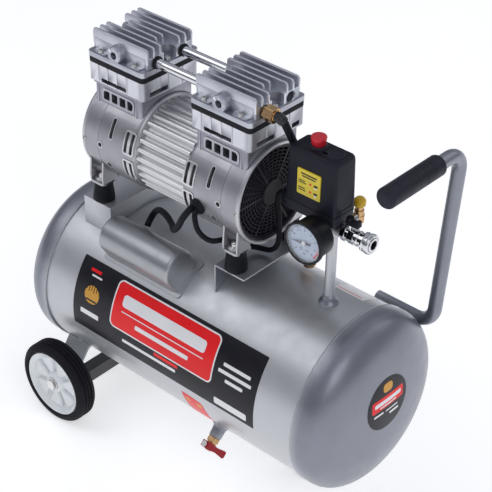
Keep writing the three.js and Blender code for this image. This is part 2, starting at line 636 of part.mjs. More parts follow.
// ---------------------------------------------------------------- delivery hose and check valve
const headSide = PUMP.rightX + 49.5;
const elbowEnd = headSide + 19;
piece('hose_fitting', join(
  bar('x', headSide - 8, headSide + 3, PORT.radius, [-PORT.y, PORT.z], 10),
  bar('x', headSide + 2, elbowEnd, 9, [-PORT.y, PORT.z], 6),
), FINISH.brass);
const CHECK = { x: 108, y: 47, bottom: 117.5, top: 150, nut: 11 };
piece('delivery_hose', cord([
  [elbowEnd + GAP, -PORT.y, PORT.z], [elbowEnd + 4, -PORT.y, PORT.z], [112, -21, 371], [113, -14, 358],
  [110, 0, 336], [107, 13, 314], [106, 26, 285], [106.5, 36, 250], [107.5, 44, 210], [CHECK.x, CHECK.y, 175],
  [CHECK.x, CHECK.y, CHECK.top + GAP],
], 5, 8, 18), FINISH.blackRubber);
piece('check_valve', cut(join(
  bar('z', 108, CHECK.top - 12, 8, [CHECK.x, CHECK.y], 16),
  bar('z', CHECK.top - 22, CHECK.top, CHECK.nut, [CHECK.x, CHECK.y], 6),
), tankCutter()), FINISH.brass);

// ---------------------------------------------------------------- capacitor and its cover
// Local frame of the cover: x along the tank, y up the slope of the tank, z straight out of it.
const tilted = group(0, COVER.y, COVER.z);
tilted.rotation.x = rad(COVER.tilt);
const slopeTurn = new THREE.Matrix4().makeRotationX(-rad(COVER.tilt));

/** The tank surface as a cutter in the frame of the cover. */
function tankInCoverFrame(radius) {
  const geometry = alongAxis(new THREE.CylinderGeometry(radius, radius, 400, 72), 'x');
  geometry.translate(-60, -COVER.y, -COVER.z).applyMatrix4(slopeTurn);
  return solid(geometry);
}

function archOutline(half, wallTop, bottom) {
  const shape = new THREE.Shape();
  shape.moveTo(-half, bottom);
  shape.lineTo(half, bottom);
  shape.lineTo(half, wallTop);
  shape.absarc(0, wallTop, half, 0, Math.PI, false);
  return shape;
}

function capacitorCover() {
  const { x0, x1, half, wallTop, sheet } = COVER;
  const outer = pushX(archOutline(half, wallTop, -12), x0, x1);
  const inner = pushX(archOutline(half - sheet, wallTop, -14), x0 + sheet, x1 - sheet);
  const rim = box([x0 - 5, -30, -8], [x1 + 9, 30, 12]).intersect(tankInCoverFrame(TANK_CLEAR + 2));
  const leadHole = bar('y', 10, 40, 5.2, [-101, 22], 12);
  return cut(join(outer, rim), inner, tankInCoverFrame(TANK_CLEAR), leadHole);
}
piece('capacitor_cover', capacitorCover(), FINISH.plate, tilted);
piece('capacitor', bar('x', -122, -32, 19.5, [0, 26], 24), FINISH.blackPlastic, tilted);

// ---------------------------------------------------------------- motor leads
const grommetGroup = group(GROMMET.x, 0, MOTOR.z);
grommetGroup.rotation.x = rad(-GROMMET.angle);
piece('cable_grommet', turned('y', [
  [-GROMMET.to, 0], [-GROMMET.to, GROMMET.radius - 3], [-GROMMET.to + 2, GROMMET.radius],
  [-GROMMET.from, GROMMET.radius], [-GROMMET.from, 0],
], 20), FINISH.blackRubber, grommetGroup);

/** A point in front of the grommet, at a distance from the motor axis. */
function grommetPoint(shift, distance) {
  const angle = rad(GROMMET.angle);
  return [GROMMET.x + shift, -Math.cos(angle) * distance, MOTOR.z + Math.sin(angle) * distance];
}
piece('capacitor_lead', cord([
  grommetPoint(-4.6, GROMMET.to + GAP), grommetPoint(-4.6, GROMMET.to + 5), [2, -83, 212], [-8, -81, 194],
  [-24, -73, 178], [-38, -62, 175], [-55, -54, 176], [-74, -46, 172], [-91, -38, 160], [-100, -37, 147],
  [-101, -43.5, 138], [-101, -45, 135],
], 4.4, 8, 16), FINISH.blackRubber);
piece('switch_lead', cord([
  grommetPoint(4.8, GROMMET.to + GAP), grommetPoint(4.8, GROMMET.to + 5), [26, -82, 208], [33, -77, 195],
  [41, -70, 189], [48, -54, 186], [50, -30, 168], [62, -8, 158], [82, -1, 160], [93, -1, 176],
  [95, -3, 215], [94, -5, 244], [96, -5, 254], [99.5, -5, SWITCH.baseZ + 7],
  [SWITCH.x0 - 13 - 2 * GAP, -5, SWITCH.baseZ + 7],
], 3.6, 8, 20), FINISH.blackRubber);

// ---------------------------------------------------------------- riser, manifold and switch
piece('riser_pipe', turned('z', [
  [128, RISER.bore], [128, RISER.radius], [RISER.top, RISER.radius], [RISER.top, RISER.bore],
], 16, [RISER.x, 0]), FINISH.plate);

function manifoldBlock() {
  const { z, radius } = MANIFOLD;
  const switchPort = (SWITCH.x0 + SWITCH.x1) / 2;
  return join(
    bar('x', 147, OUTLET.start, radius, [0, z], 16),
    bar('z', RISER.top + GAP, z, 11, [RISER.x, 0], 6),
    bar('z', z, SWITCH.baseZ - GAP, 8, [switchPort, 0], 6),
    bar('y', GAUGE.back + GAP, 0, 7, [RISER.x, GAUGE.z - 1], 12),
    bar('y', 0, SAFETY.y, 7, [RISER.x + 8, z], 12),
  );
}
piece('manifold', manifoldBlock(), FINISH.steel);

function switchBase() {
  const { x0, x1, y0, y1, baseZ, splitZ } = SWITCH;
  const middle = [(x0 + x1) / 2, (y0 + y1) / 2];
  const base = pushZ(roundRectangle(x1 - x0, y1 - y0, 5), baseZ, splitZ - GAP, 3).translate([...middle, 0]);
  const glandZ = baseZ + 7;
  const motorGland = bar('x', x0 - 13, x0 + 1, 7, [-5, glandZ], 12);
  const inletGland = bar('x', x0 - 13, x0 + 1, 7, [12, glandZ], 12);
  const inletHole = bar('x', x0 - 14, x0 - 4, 3.6, [12, glandZ], 12);
  return cut(join(base, motorGland, inletGland), inletHole);
}
piece('switch_base', switchBase(), FINISH.blackPlastic);

function switchCover() {
  const { x0, x1, y0, y1, splitZ, topZ } = SWITCH;
  const middle = [(x0 + x1) / 2, (y0 + y1) / 2];
  const taperFrom = (width, depth, bottom, top, inset) => {
    const geometry = new THREE.ExtrudeGeometry(roundRectangle(width, depth, 5), {
      depth: top - bottom, bevelEnabled: false, curveSegments: 3,
    });
    const points = geometry.attributes.position;
    for (let i = 0; i < points.count; i += 1) {
      const share = points.getZ(i) / (top - bottom);
      points.setX(i, points.getX(i) * (1 - (share * inset) / (width / 2)) + share * inset * 0.6);
      points.setY(i, points.getY(i) * (1 - (share * inset) / (depth / 2)));
    }
    return solid(geometry.translate(...middle, bottom));
  };
  const outer = taperFrom(x1 - x0, y1 - y0, splitZ, topZ, 2);
  const inner = taperFrom(x1 - x0 - 5, y1 - y0 - 5, splitZ - 1, topZ - 3, 2);
  const stemHole = bar('z', topZ - 5, topZ + 1, KNOB.stem + 0.8, [KNOB.x, KNOB.y], 16);
  return cut(outer, inner, stemHole);
}
piece('switch_cover', switchCover(), FINISH.blackPlastic);
piece('switch_knob', join(
  turned('z', [
    [KNOB.bottom, 0], [KNOB.bottom, KNOB.radius - 1], [KNOB.top - 1, KNOB.radius],
    [KNOB.top, KNOB.radius - 1], [KNOB.top, 0],
  ], 24, [KNOB.x, KNOB.y]),
  bar('z', SWITCH.topZ - 20, KNOB.bottom + 1, KNOB.stem, [KNOB.x, KNOB.y], 16),
), FINISH.redPlastic);

// ---------------------------------------------------------------- gauge
const gaugeGroup = group(RISER.x, 0, GAUGE.z);
const { face, back, radius: bezel, dial } = GAUGE;
piece('gauge_case', turned('y', [
  [back, 0], [back, bezel - 6], [back - 3, bezel - 3], [face + 7, bezel - 3], [face + 6, bezel],
  [face, bezel], [face, dial + 1], [face + 5, dial], [face + 5, 0],
], 24), FINISH.blackPlastic, gaugeGroup);
piece('gauge_needle', join(
  bar('y', face + 1.6, face + 4.6, 2.6, [0, 0], 12),
  box([-20, face + 2.4, -0.9], [8, face + 3.4, 0.9]),
), FINISH.blackPlastic, gaugeGroup);

// ---------------------------------------------------------------- outlet valve and coupler
const STEM = { x: (OUTLET.start + OUTLET.valveEnd) / 2 + 1, top: 266 };
function outletValve() {
  const z = MANIFOLD.z;
  const valve = join(
    bar('x', OUTLET.start + GAP, OUTLET.valveEnd, 11.5, [0, z], 6),
    bar('z', z, z + 14.5, 4, [STEM.x, 0], 12),
  );
  const socket = join(
    bar('x', OUTLET.valveEnd - 1, OUTLET.valveEnd + 9, 10.5, [0, z], 12),
    bar('x', OUTLET.valveEnd + 8, OUTLET.couplerEnd, 9.4, [0, z], 20),
  );
  return cut(join(valve, socket), bar('x', OUTLET.valveEnd + 12, OUTLET.couplerEnd + 1, 6.2, [0, z], 16));
}
piece('outlet_valve', outletValve(), FINISH.chrome);
piece('outlet_lever', box(
  [STEM.x - 4.5, -5, MANIFOLD.z + 14.8], [STEM.x + 15, 5, STEM.top]), FINISH.blackPlastic);
piece('coupler_sleeve', turned('x', [
  [229, 9.8], [229, 12.6], [231, 13.4], [239, 13.4], [241, 12.4], [241, 9.8],
], 20, [0, MANIFOLD.z]), FINISH.chrome);

// ---------------------------------------------------------------- safety valve
const safetyX = RISER.x + 8;
piece('safety_valve', join(
  bar('z', MANIFOLD.z - 9, SAFETY.z + 9, 7.5, [safetyX, SAFETY.y + 8], 12),
  bar('z', SAFETY.z + 8, SAFETY.top - 12, 5.5, [safetyX, SAFETY.y + 8], 12),
), FINISH.brass);
piece('safety_cap', turned('z', [
  [SAFETY.top - 11.7, 0], [SAFETY.top - 11.7, 8],
  [SAFETY.top - 4, 8], [SAFETY.top - 0.6, 4.6], [SAFETY.top, 0],
], 20, [safetyX, SAFETY.y + 8]), FINISH.yellowPlastic);

// ---------------------------------------------------------------- drain valve
// Local frame of the drain: z straight out of the tank, y forwards and upwards, x along the tank.
const drainGroup = group(DRAIN.x, 0, 0);
drainGroup.rotation.x = rad(90 + DRAIN.tilt);
piece('drain_valve', join(
  bar('z', DRAIN.bossEnd + GAP, 151, 8.6, [0, 0], 6),
  bar('z', 150, 163, 7, [0, 0], 16),
  bar('y', 0, 11.5, 4.5, [0, 156], 12),
), FINISH.brass, drainGroup);
piece('drain_lever', join(
  box([-6, 11.8, 151], [35, 14.4, 161]),
  bar('y', 14, 17.5, 4.6, [0, 156], 6),
), FINISH.redVinyl, drainGroup);

export default compressor;
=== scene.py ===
import math

import bmesh
import bpy
from mathutils import Matrix, Vector


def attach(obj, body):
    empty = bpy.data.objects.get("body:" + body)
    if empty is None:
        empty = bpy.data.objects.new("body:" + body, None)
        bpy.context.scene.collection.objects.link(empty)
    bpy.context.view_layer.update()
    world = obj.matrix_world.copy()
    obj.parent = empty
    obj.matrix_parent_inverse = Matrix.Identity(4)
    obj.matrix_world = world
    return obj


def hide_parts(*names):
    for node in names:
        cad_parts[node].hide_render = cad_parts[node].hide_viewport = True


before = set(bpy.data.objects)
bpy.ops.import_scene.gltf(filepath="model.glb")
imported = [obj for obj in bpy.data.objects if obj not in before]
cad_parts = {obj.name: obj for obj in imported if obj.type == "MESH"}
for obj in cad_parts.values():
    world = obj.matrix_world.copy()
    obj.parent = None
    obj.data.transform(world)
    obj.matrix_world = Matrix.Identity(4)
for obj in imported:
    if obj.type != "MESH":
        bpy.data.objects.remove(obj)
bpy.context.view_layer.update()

# Shapes are written in millimetres from the axis of the tank, and lifted onto the floor at the end.
LIFT = 182.0
MM = 0.001
MOTOR_Z = 247.7
SCENE = bpy.context.scene


# ---------------------------------------------------------------- materials
class Nodes:
    """A short hand for wiring one node tree."""

    def __init__(self, name):
        self.material = bpy.data.materials.new(name)
        self.material.use_nodes = True
        self.tree = self.material.node_tree
        self.shader = self.tree.nodes["Principled BSDF"]
        self.place = self.make("ShaderNodeTexCoord").outputs["Object"]

    def make(self, kind, **settings):
        node = self.tree.nodes.new(kind)
        for key, value in settings.items():
            setattr(node, key, value)
        return node

    def link(self, source, target):
        self.tree.links.new(source, target)

    def noise(self, scale, detail=3.0, stretch=None, distortion=0.0):
        node = self.make("ShaderNodeTexNoise")
        node.inputs["Scale"].default_value = scale
        node.inputs["Detail"].default_value = detail
        node.inputs["Distortion"].default_value = distortion
        place = self.place
        if stretch:
            mapping = self.make("ShaderNodeMapping")
            mapping.inputs["Scale"].default_value = stretch
            self.link(place, mapping.inputs["Vector"])
            place = mapping.outputs["Vector"]
        self.link(place, node.inputs["Vector"])
        return node.outputs["Fac"]

    def spread(self, source, low, high, from_low=0.3, from_high=0.7):
        node = self.make("ShaderNodeMapRange")
        node.inputs["From Min"].default_value, node.inputs["From Max"].default_value = from_low, from_high
        node.inputs["To Min"].default_value, node.inputs["To Max"].default_value = low, high
        self.link(source, node.inputs["Value"])
        return node.outputs["Result"]

    def blend(self, factor, first, second):
        node = self.make("ShaderNodeMix", data_type="RGBA")
        self.link(factor, node.inputs["Factor"])
        for value, socket in ((first, node.inputs[6]), (second, node.inputs[7])):
            if isinstance(value, tuple):
                socket.default_value = (*value, 1.0)
            else:
                self.link(value, socket)
        return node.outputs[2]


def shade(colour, factor):
    return tuple(min(1.0, c * factor) for c in colour)


def finish(name, colour, rough, metal=0.0, grain=900.0, bump=0.05, tint=0.1, change=0.06,
           wear=None, coat=0.0, stretch=None, specular=0.5, clouds=18.0):
    """A surface with its own grain, clouded colour and roughness, and worn edges where asked."""
    n = Nodes(name)
    cloud = n.noise(clouds, 4.0)
    fine = n.noise(grain, 2.0, stretch)
    tone = n.blend(n.spread(cloud, 0.0, 1.0), shade(colour, 1.0 - tint), shade(colour, 1.0 + tint))
    tone = n.blend(n.spread(fine, 0.0, 0.35), tone, shade(colour, 0.72))
    if wear:
        edge = n.make("ShaderNodeNewGeometry").outputs["Pointiness"]
        rubbed = n.spread(edge, 0.0, 0.8, 0.515, 0.6)
        tone = n.blend(rubbed, tone, wear)
    n.link(tone, n.shader.inputs["Base Color"])
    n.link(n.spread(n.noise(clouds * 2.6, 5.0), rough - change, rough + change), n.shader.inputs["Roughness"])
    n.shader.inputs["Metallic"].default_value = metal
    n.shader.inputs["Coat Weight"].default_value = coat
    n.shader.inputs["Coat Roughness"].default_value = 0.12
    n.shader.inputs["Specular IOR Level"].default_value = specular
    relief = n.make("ShaderNodeBump")
    relief.inputs["Strength"].default_value = bump
    relief.inputs["Distance"].default_value = 0.0006
    n.link(fine, relief.inputs["Height"])
    n.link(relief.outputs["Normal"], n.shader.inputs["Normal"])
    return n.material


FINISH = {
    "paint": finish("silver_paint", (0.265, 0.278, 0.318), 0.40, 0.72, 1500, 0.035, 0.05, 0.05,
                    wear=(0.62, 0.63, 0.65), coat=0.25),
    "cover_paint": finish("cover_paint", (0.35, 0.365, 0.385), 0.38, 0.8, 1400, 0.03, 0.05, 0.05,
                          wear=(0.7, 0.71, 0.73), coat=0.2),
    "satin": finish("satin_aluminium", (0.38, 0.375, 0.41), 0.40, 0.9, 2600, 0.10, 0.05, 0.07,
                    wear=(0.86, 0.86, 0.87)),
    "cast": finish("cast_aluminium", (0.32, 0.32, 0.365), 0.44, 0.85, 1300, 0.22, 0.09, 0.08,
                   wear=(0.80, 0.81, 0.85)),
    "head": finish("head_aluminium", (0.42, 0.43, 0.49), 0.38, 0.85, 1300, 0.25, 0.10, 0.08,
                   wear=(0.85, 0.87, 0.92)),
    "barrel": finish("extruded_aluminium", (0.34, 0.345, 0.39), 0.37, 0.9, 700, 0.10, 0.05, 0.06,
                     wear=(0.88, 0.88, 0.88), stretch=(0.05, 1.0, 1.0)),
    "steel": finish("turned_steel", (0.48, 0.48, 0.50), 0.32, 1.0, 1200, 0.06, 0.08, 0.08),
    "zinc": finish("zinc_plate", (0.60, 0.59, 0.57), 0.28, 1.0, 800, 0.06, 0.12, 0.09,
                   wear=(0.8, 0.8, 0.8)),
    "chrome": finish("bright_plate", (0.72, 0.73, 0.75), 0.10, 1.0, 300, 0.01, 0.05, 0.04),
    "brass": finish("brass", (0.62, 0.40, 0.20), 0.25, 1.0, 900, 0.03, 0.08, 0.05),
    "copper": finish("copper_winding", (0.45, 0.2, 0.1), 0.4, 0.8, 500, 0.4, 0.2, 0.1,
                     stretch=(6.0, 1.0, 1.0)),
    "black_metal": finish("black_paint", (0.014, 0.015, 0.018), 0.42, 0.1, 1100, 0.06, 0.2, 0.08,
                          wear=(0.06, 0.06, 0.065)),
    "rubber": finish("black_rubber", (0.008, 0.0085, 0.012), 0.56, 0.0, 1500, 0.20, 0.25, 0.10,
                     wear=(0.025, 0.026, 0.032), specular=0.14),
    "tyre": finish("tyre_rubber", (0.009, 0.009, 0.013), 0.66, 0.0, 700, 0.30, 0.25, 0.08,
                   wear=(0.025, 0.025, 0.03), specular=0.14),
    "grip": finish("grip_rubber", (0.018, 0.019, 0.030), 0.50, 0.0, 1100, 0.28, 0.2, 0.08,
                   wear=(0.035, 0.035, 0.05), specular=0.25),
    "plastic": finish("black_plastic", (0.0085, 0.009, 0.012), 0.38, 0.0, 2100, 0.14, 0.15, 0.06,
                      wear=(0.025, 0.025, 0.035), specular=0.16),
    "switch": finish("dark_blue_plastic", (0.009, 0.0095, 0.018), 0.40, 0.0, 2300, 0.22, 0.12, 0.06,
                     wear=(0.05, 0.05, 0.07), specular=0.15),
    "white": finish("white_plastic", (0.88, 0.91, 0.92), 0.40, 0.0, 1500, 0.08, 0.05, 0.08,
                    clouds=30.0),
    "red": finish("red_plastic", (0.72, 0.022, 0.040), 0.34, 0.0, 1700, 0.08, 0.10, 0.06),
    "lever_red": finish("dark_red_vinyl", (0.42, 0.014, 0.022), 0.42, 0.0, 900, 0.12, 0.18, 0.08),
    "yellow": finish("yellow_plastic", (0.80, 0.50, 0.02), 0.36, 0.0, 1500, 0.08, 0.08, 0.06),
    "decal_black": finish("decal_black", (0.008, 0.008, 0.013), 0.33, 0.0, 1300, 0.03, 0.12, 0.06,
                          specular=0.3),
    "decal_red": finish("decal_red", (0.92, 0.014, 0.018), 0.32, 0.0, 1300, 0.03, 0.06, 0.05,
                        specular=0.3),
    "decal_white": finish("decal_white", (0.90, 0.90, 0.91), 0.34, 0.0, 1300, 0.03, 0.04, 0.05),
    "decal_gold": finish("decal_gold", (0.74, 0.36, 0.03), 0.34, 0.0, 900, 0.04, 0.2, 0.06),
    "label_yellow": finish("label_yellow", (0.84, 0.66, 0.035), 0.36, 0.0, 1300, 0.03, 0.05, 0.05),
    "dial": finish("dial_blue", (0.50, 0.60, 0.76), 0.45, 0.0, 1200, 0.02, 0.04, 0.05),
    "ink": finish("printed_ink", (0.02, 0.02, 0.035), 0.5, 0.0, 1200, 0.02, 0.1, 0.05),
}


def glass_material():
    n = Nodes("gauge_lens")
    n.shader.inputs["Base Color"].default_value = (0.98, 0.99, 1.0, 1.0)
    n.shader.inputs["Alpha"].default_value = 0.10
    n.link(n.spread(n.noise(60.0, 3.0), 0.02, 0.08), n.shader.inputs["Roughness"])
    return n.material


FINISH["lens"] = glass_material()


# ---------------------------------------------------------------- shapes: (points, faces) in millimetres
def merged(*shapes):
    points, faces = [], []
    for more_points, more_faces in shapes:
        start = len(points)
        points += list(more_points)
        faces += [[i + start for i in face] for face in more_faces]
    return points, faces


def moved(shape, matrix):
    return [tuple(matrix @ Vector(p)) for p in shape[0]], shape[1]


def shifted(shape, x=0.0, y=0.0, z=0.0):
    return moved(shape, Matrix.Translation((x, y, z)))


def turned_about(shape, axis, degrees):
    return moved(shape, Matrix.Rotation(math.radians(degrees), 4, axis))


def mirrored(shape):
    """The shape seen in a mirror that stands along the machine, in the XZ plane."""
    return [(x, -y, z) for x, y, z in shape[0]], [face[::-1] for face in shape[1]]


def axis_point(axis, along, u, v, centre=(0.0, 0.0)):
    if axis == "x":
        return (along, centre[0] + u, centre[1] + v)
    if axis == "y":
        return (centre[0] + u, along, centre[1] + v)
    return (centre[0] + u, centre[1] + v, along)


def lathe(profile, axis="z", centre=(0.0, 0.0), sides=64):
    """A turned solid; the profile is (distance along the axis, radius) pairs."""
    points, faces, rings = [], [], []
    for along, radius in profile:
        ring = []
        for i in range(1 if radius == 0 else sides):
            turn = 2 * math.pi * i / sides
            ring.append(len(points))
            points.append(axis_point(axis, along, radius * math.cos(turn), radius * math.sin(turn), centre))
        rings.append(ring)
    pairs = list(zip(rings, rings[1:]))
    if len(rings[0]) > 1 and len(rings[-1]) > 1:
        pairs.append((rings[-1], rings[0]))
    for low, high in pairs:
        for i in range(sides):
            j = (i + 1) % sides
            face = [low[i % len(low)], low[j % len(low)], high[j % len(high)], high[i % len(high)]]
            face = [v for k, v in enumerate(face) if v not in face[:k]]
            if len(face) > 2:
                faces.append(face)
    return points, faces


def rod(axis, a, b, radius, centre=(0.0, 0.0), sides=48):
    return lathe([(a, 0), (a, radius), (b, radius), (b, 0)], axis, centre, sides)


def prism(outline, a, b, axis="z"):
    """An outline pushed along an axis; the outline is in the two other axes, in their order."""
    count = len(outline)
    points = [axis_point(axis, along, u, v) for along in (a, b) for u, v in outline]
    faces = [list(range(count)), list(range(2 * count - 1, count - 1, -1))]
    faces += [[i, (i + 1) % count, (i + 1) % count + count, i + count] for i in range(count)]
    return points, faces


def block(low, high):
    (x0, y0, z0), (x1, y1, z1) = low, high
    return prism([(x0, y0), (x1, y0), (x1, y1), (x0, y1)], z0, z1)


def layered(layers):
    """Closed outlines of 3-D points, joined one to the next and capped; each has the same count."""
    count = len(layers[0])
    points = [p for layer in layers for p in layer]
    faces = [list(range(count - 1, -1, -1)), list(range(len(points) - count, len(points)))]
    for level in range(len(layers) - 1):
        for i in range(count):
            a, b = level * count + i, level * count + (i + 1) % count
            faces.append([a, b, b + count, a + count])
    return points, faces


def hexagon(axis, a, b, radius, centre=(0.0, 0.0)):
    corners = [math.radians(60 * k) for k in range(6)]
    outline = [(centre[0] + radius * math.cos(turn), centre[1] + radius * math.sin(turn)) for turn in corners]
    return prism(outline, a, b, axis)


def round_outline(width, depth, radius, steps=6, centre=(0.0, 0.0)):
    """A rectangle with round corners; radius may be one number or four, anticlockwise from (-, -)."""
    radii = radius if isinstance(radius, (list, tuple)) else [radius] * 4
    corners = [(-1, -1, 180), (1, -1, 270), (1, 1, 0), (-1, 1, 90)]
    outline = []
    for (sx, sy, start), r in zip(corners, radii):
        cx, cy = centre[0] + sx * (width / 2 - r), centre[1] + sy * (depth / 2 - r)
        for k in range(steps + 1 if r else 1):
            turn = math.radians(start + 90 * k / steps)
            outline.append((cx + r * math.cos(turn), cy + r * math.sin(turn)))
    return outline


def wrapped(rows, inner, outer, centre_z=0.0):
    """A thin curved solid on a cylinder along x; rows are (degrees above the front horizontal, x0, x1)."""
    points, faces = [], []
    for angle, x0, x1 in rows:
        turn = math.radians(angle)
        for x, r in ((x0, inner), (x1, inner), (x1, outer), (x0, outer)):
            points.append((x, -math.cos(turn) * r, centre_z + math.sin(turn) * r))
    for i in range(len(rows) - 1):
        for k in range(4):
            a, b = 4 * i + k, 4 * i + (k + 1) % 4
            faces.append([a, b, b + 4, a + 4])
    last = 4 * (len(rows) - 1)
    faces += [[3, 2, 1, 0], [last, last + 1, last + 2, last + 3]]
    return points, faces


def patch_rows(x0, x1, low, high, corner, radius, step=3.0):
    """Rows of a rectangle with round corners laid on a cylinder of that radius."""
    half = math.degrees(corner / radius)
    rows = []
    for k in range(9):
        turn = math.radians(10 * k)
        inset = corner * (1 - math.sin(turn)) + 0.01
        rows.append((low + half * (1 - math.cos(turn)), x0 + inset, x1 - inset))
    count = max(1, int((high - low - 2 * half) / step))
    for k in range(count + 1):
        rows.append((low + half + (high - low - 2 * half) * k / count, x0, x1))
    return rows + [(high - (angle - low), a, b) for angle, a, b in rows[8::-1]]


def smooth_path(points, steps):
    """A smooth curve through the points, sampled evenly by parameter."""
    path = [Vector(p) for p in points]
    path = [path[0] * 2 - path[1]] + path + [path[-1] * 2 - path[-2]]
    knots = [0.0]
    for a, b in zip(path, path[1:]):
        knots.append(knots[-1] + max(1e-6, (b - a).length) ** 0.5)
    made = []
    spans = len(points) - 1
    for s in range(steps + 1):
        t = s / steps * spans
        i = min(int(t), spans - 1)
        p = path[i:i + 4]
        k = knots[i:i + 4]
        u = k[1] + (k[2] - k[1]) * (t - i)

        def between(first, second, low, high):
            return first * ((k[high] - u) / (k[high] - k[low])) + second * ((u - k[low]) / (k[high] - k[low]))

        a1, a2, a3 = (between(p[j], p[j + 1], j, j + 1) for j in range(3))
        made.append(between(between(a1, a2, 0, 2), between(a2, a3, 1, 3), 1, 2))
    return made


def sweep(path, radius, sides=20):
    """A round tube along the points; radius is a number or one number per point."""
    path = [Vector(p) for p in path]
    radii = radius if isinstance(radius, list) else [radius] * len(path)
    ahead = (path[1] - path[0]).normalized()
    across = ahead.orthogonal().normalized()
    points, faces = [], []
    for i, (p, r) in enumerate(zip(path, radii)):
        now = (path[min(i + 1, len(path) - 1)] - path[max(i - 1, 0)]).normalized()
        across = (ahead.rotation_difference(now) @ across).normalized()
        ahead = now
        other = ahead.cross(across)
        for k in range(sides):
            turn = 2 * math.pi * k / sides
            points.append(tuple(p + across * (r * math.cos(turn)) + other * (r * math.sin(turn))))
    for i in range(len(path) - 1):
        for k in range(sides):
            j = (k + 1) % sides
            faces.append([i * sides + k, i * sides + j, (i + 1) * sides + j, (i + 1) * sides + k])
    last = (len(path) - 1) * sides
    faces += [list(range(sides - 1, -1, -1)), list(range(last, last + sides))]
    return points, faces


def dome_bolt(radius, height):
    """A domed screw head standing on z = 0, with a socket in it."""
    profile = [(0, 0), (0, radius * 0.55), (0, radius * 0.55), (0, radius), (height * 0.35, radius)]
    for k in range(1, 5):
        turn = math.radians(90 * k / 5)
        profile.append((height * (0.35 + 0.65 * math.sin(turn)), radius * math.cos(turn) ** 0.8))
    profile += [(height * 0.985, radius * 0.42), (height * 0.4, radius * 0.36), (height * 0.4, 0)]
    return lathe(profile, "z", sides=24)


# ---------------------------------------------------------------- pieces
def raw_mesh(name, shape):
    bm = bmesh.new()
    points = [bm.verts.new(p) for p in shape[0]]
    for face in shape[1]:
        corners = [points[i] for i in face]
        if len(set(corners)) > 2:
            try:
                bm.faces.new(corners)
            except ValueError:
                continue
    bmesh.ops.remove_doubles(bm, verts=bm.verts, dist=0.002)
    bmesh.ops.dissolve_degenerate(bm, dist=0.001, edges=bm.edges)
    bmesh.ops.recalc_face_normals(bm, faces=bm.faces)
    mesh = bpy.data.meshes.new(name)
    bm.to_mesh(mesh)
    bm.free()
    return mesh


def carved(mesh, shape, operation="DIFFERENCE"):
    """The mesh with another shape taken away from it, or joined to it."""
    body = bpy.data.objects.new("body", mesh)
    tool = bpy.data.objects.new("tool", raw_mesh("tool", shape))
    SCENE.collection.objects.link(body)
    SCENE.collection.objects.link(tool)
    change = body.modifiers.new("carve", "BOOLEAN")
    change.operation, change.solver, change.object = operation, "EXACT", tool
    change.use_self = True
    bpy.context.view_layer.update()
    result = bpy.data.meshes.new_from_object(body.evaluated_get(bpy.context.evaluated_depsgraph_get()))
    bpy.data.objects.remove(body)
    bpy.data.objects.remove(tool)
    return result


def piece(name, shape, look, body="base", stands_for=(), slot=None, cutters=None, unions=None,
          bevel=0.0, segments=2, sharp=38.0):
    mesh = raw_mesh(name, shape)
    if unions:
        mesh = carved(mesh, unions, "UNION")
    if cutters:
        mesh = carved(mesh, cutters)
    mesh.name = name
    mesh.transform(Matrix.Diagonal((MM, MM, MM, 1.0)) @ Matrix.Translation((0.0, 0.0, LIFT)))
    mesh.materials.clear()
    mesh.materials.append(FINISH[look])
    mesh.shade_smooth()
    mesh.set_sharp_from_angle(angle=math.radians(sharp))
    made = bpy.data.objects.new(name, mesh)
    SCENE.collection.objects.link(made)
    if bevel:
        edge = made.modifiers.new("edges", "BEVEL")
        edge.width, edge.segments = bevel * MM, segments
        edge.limit_method, edge.angle_limit = "ANGLE", math.radians(sharp)
        edge.harden_normals = True
    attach(made, body)
    if stands_for:
        stands_for = (stands_for,) if isinstance(stands_for, str) else stands_for
        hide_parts(*stands_for)
        slot or stands_for[0]
    return made


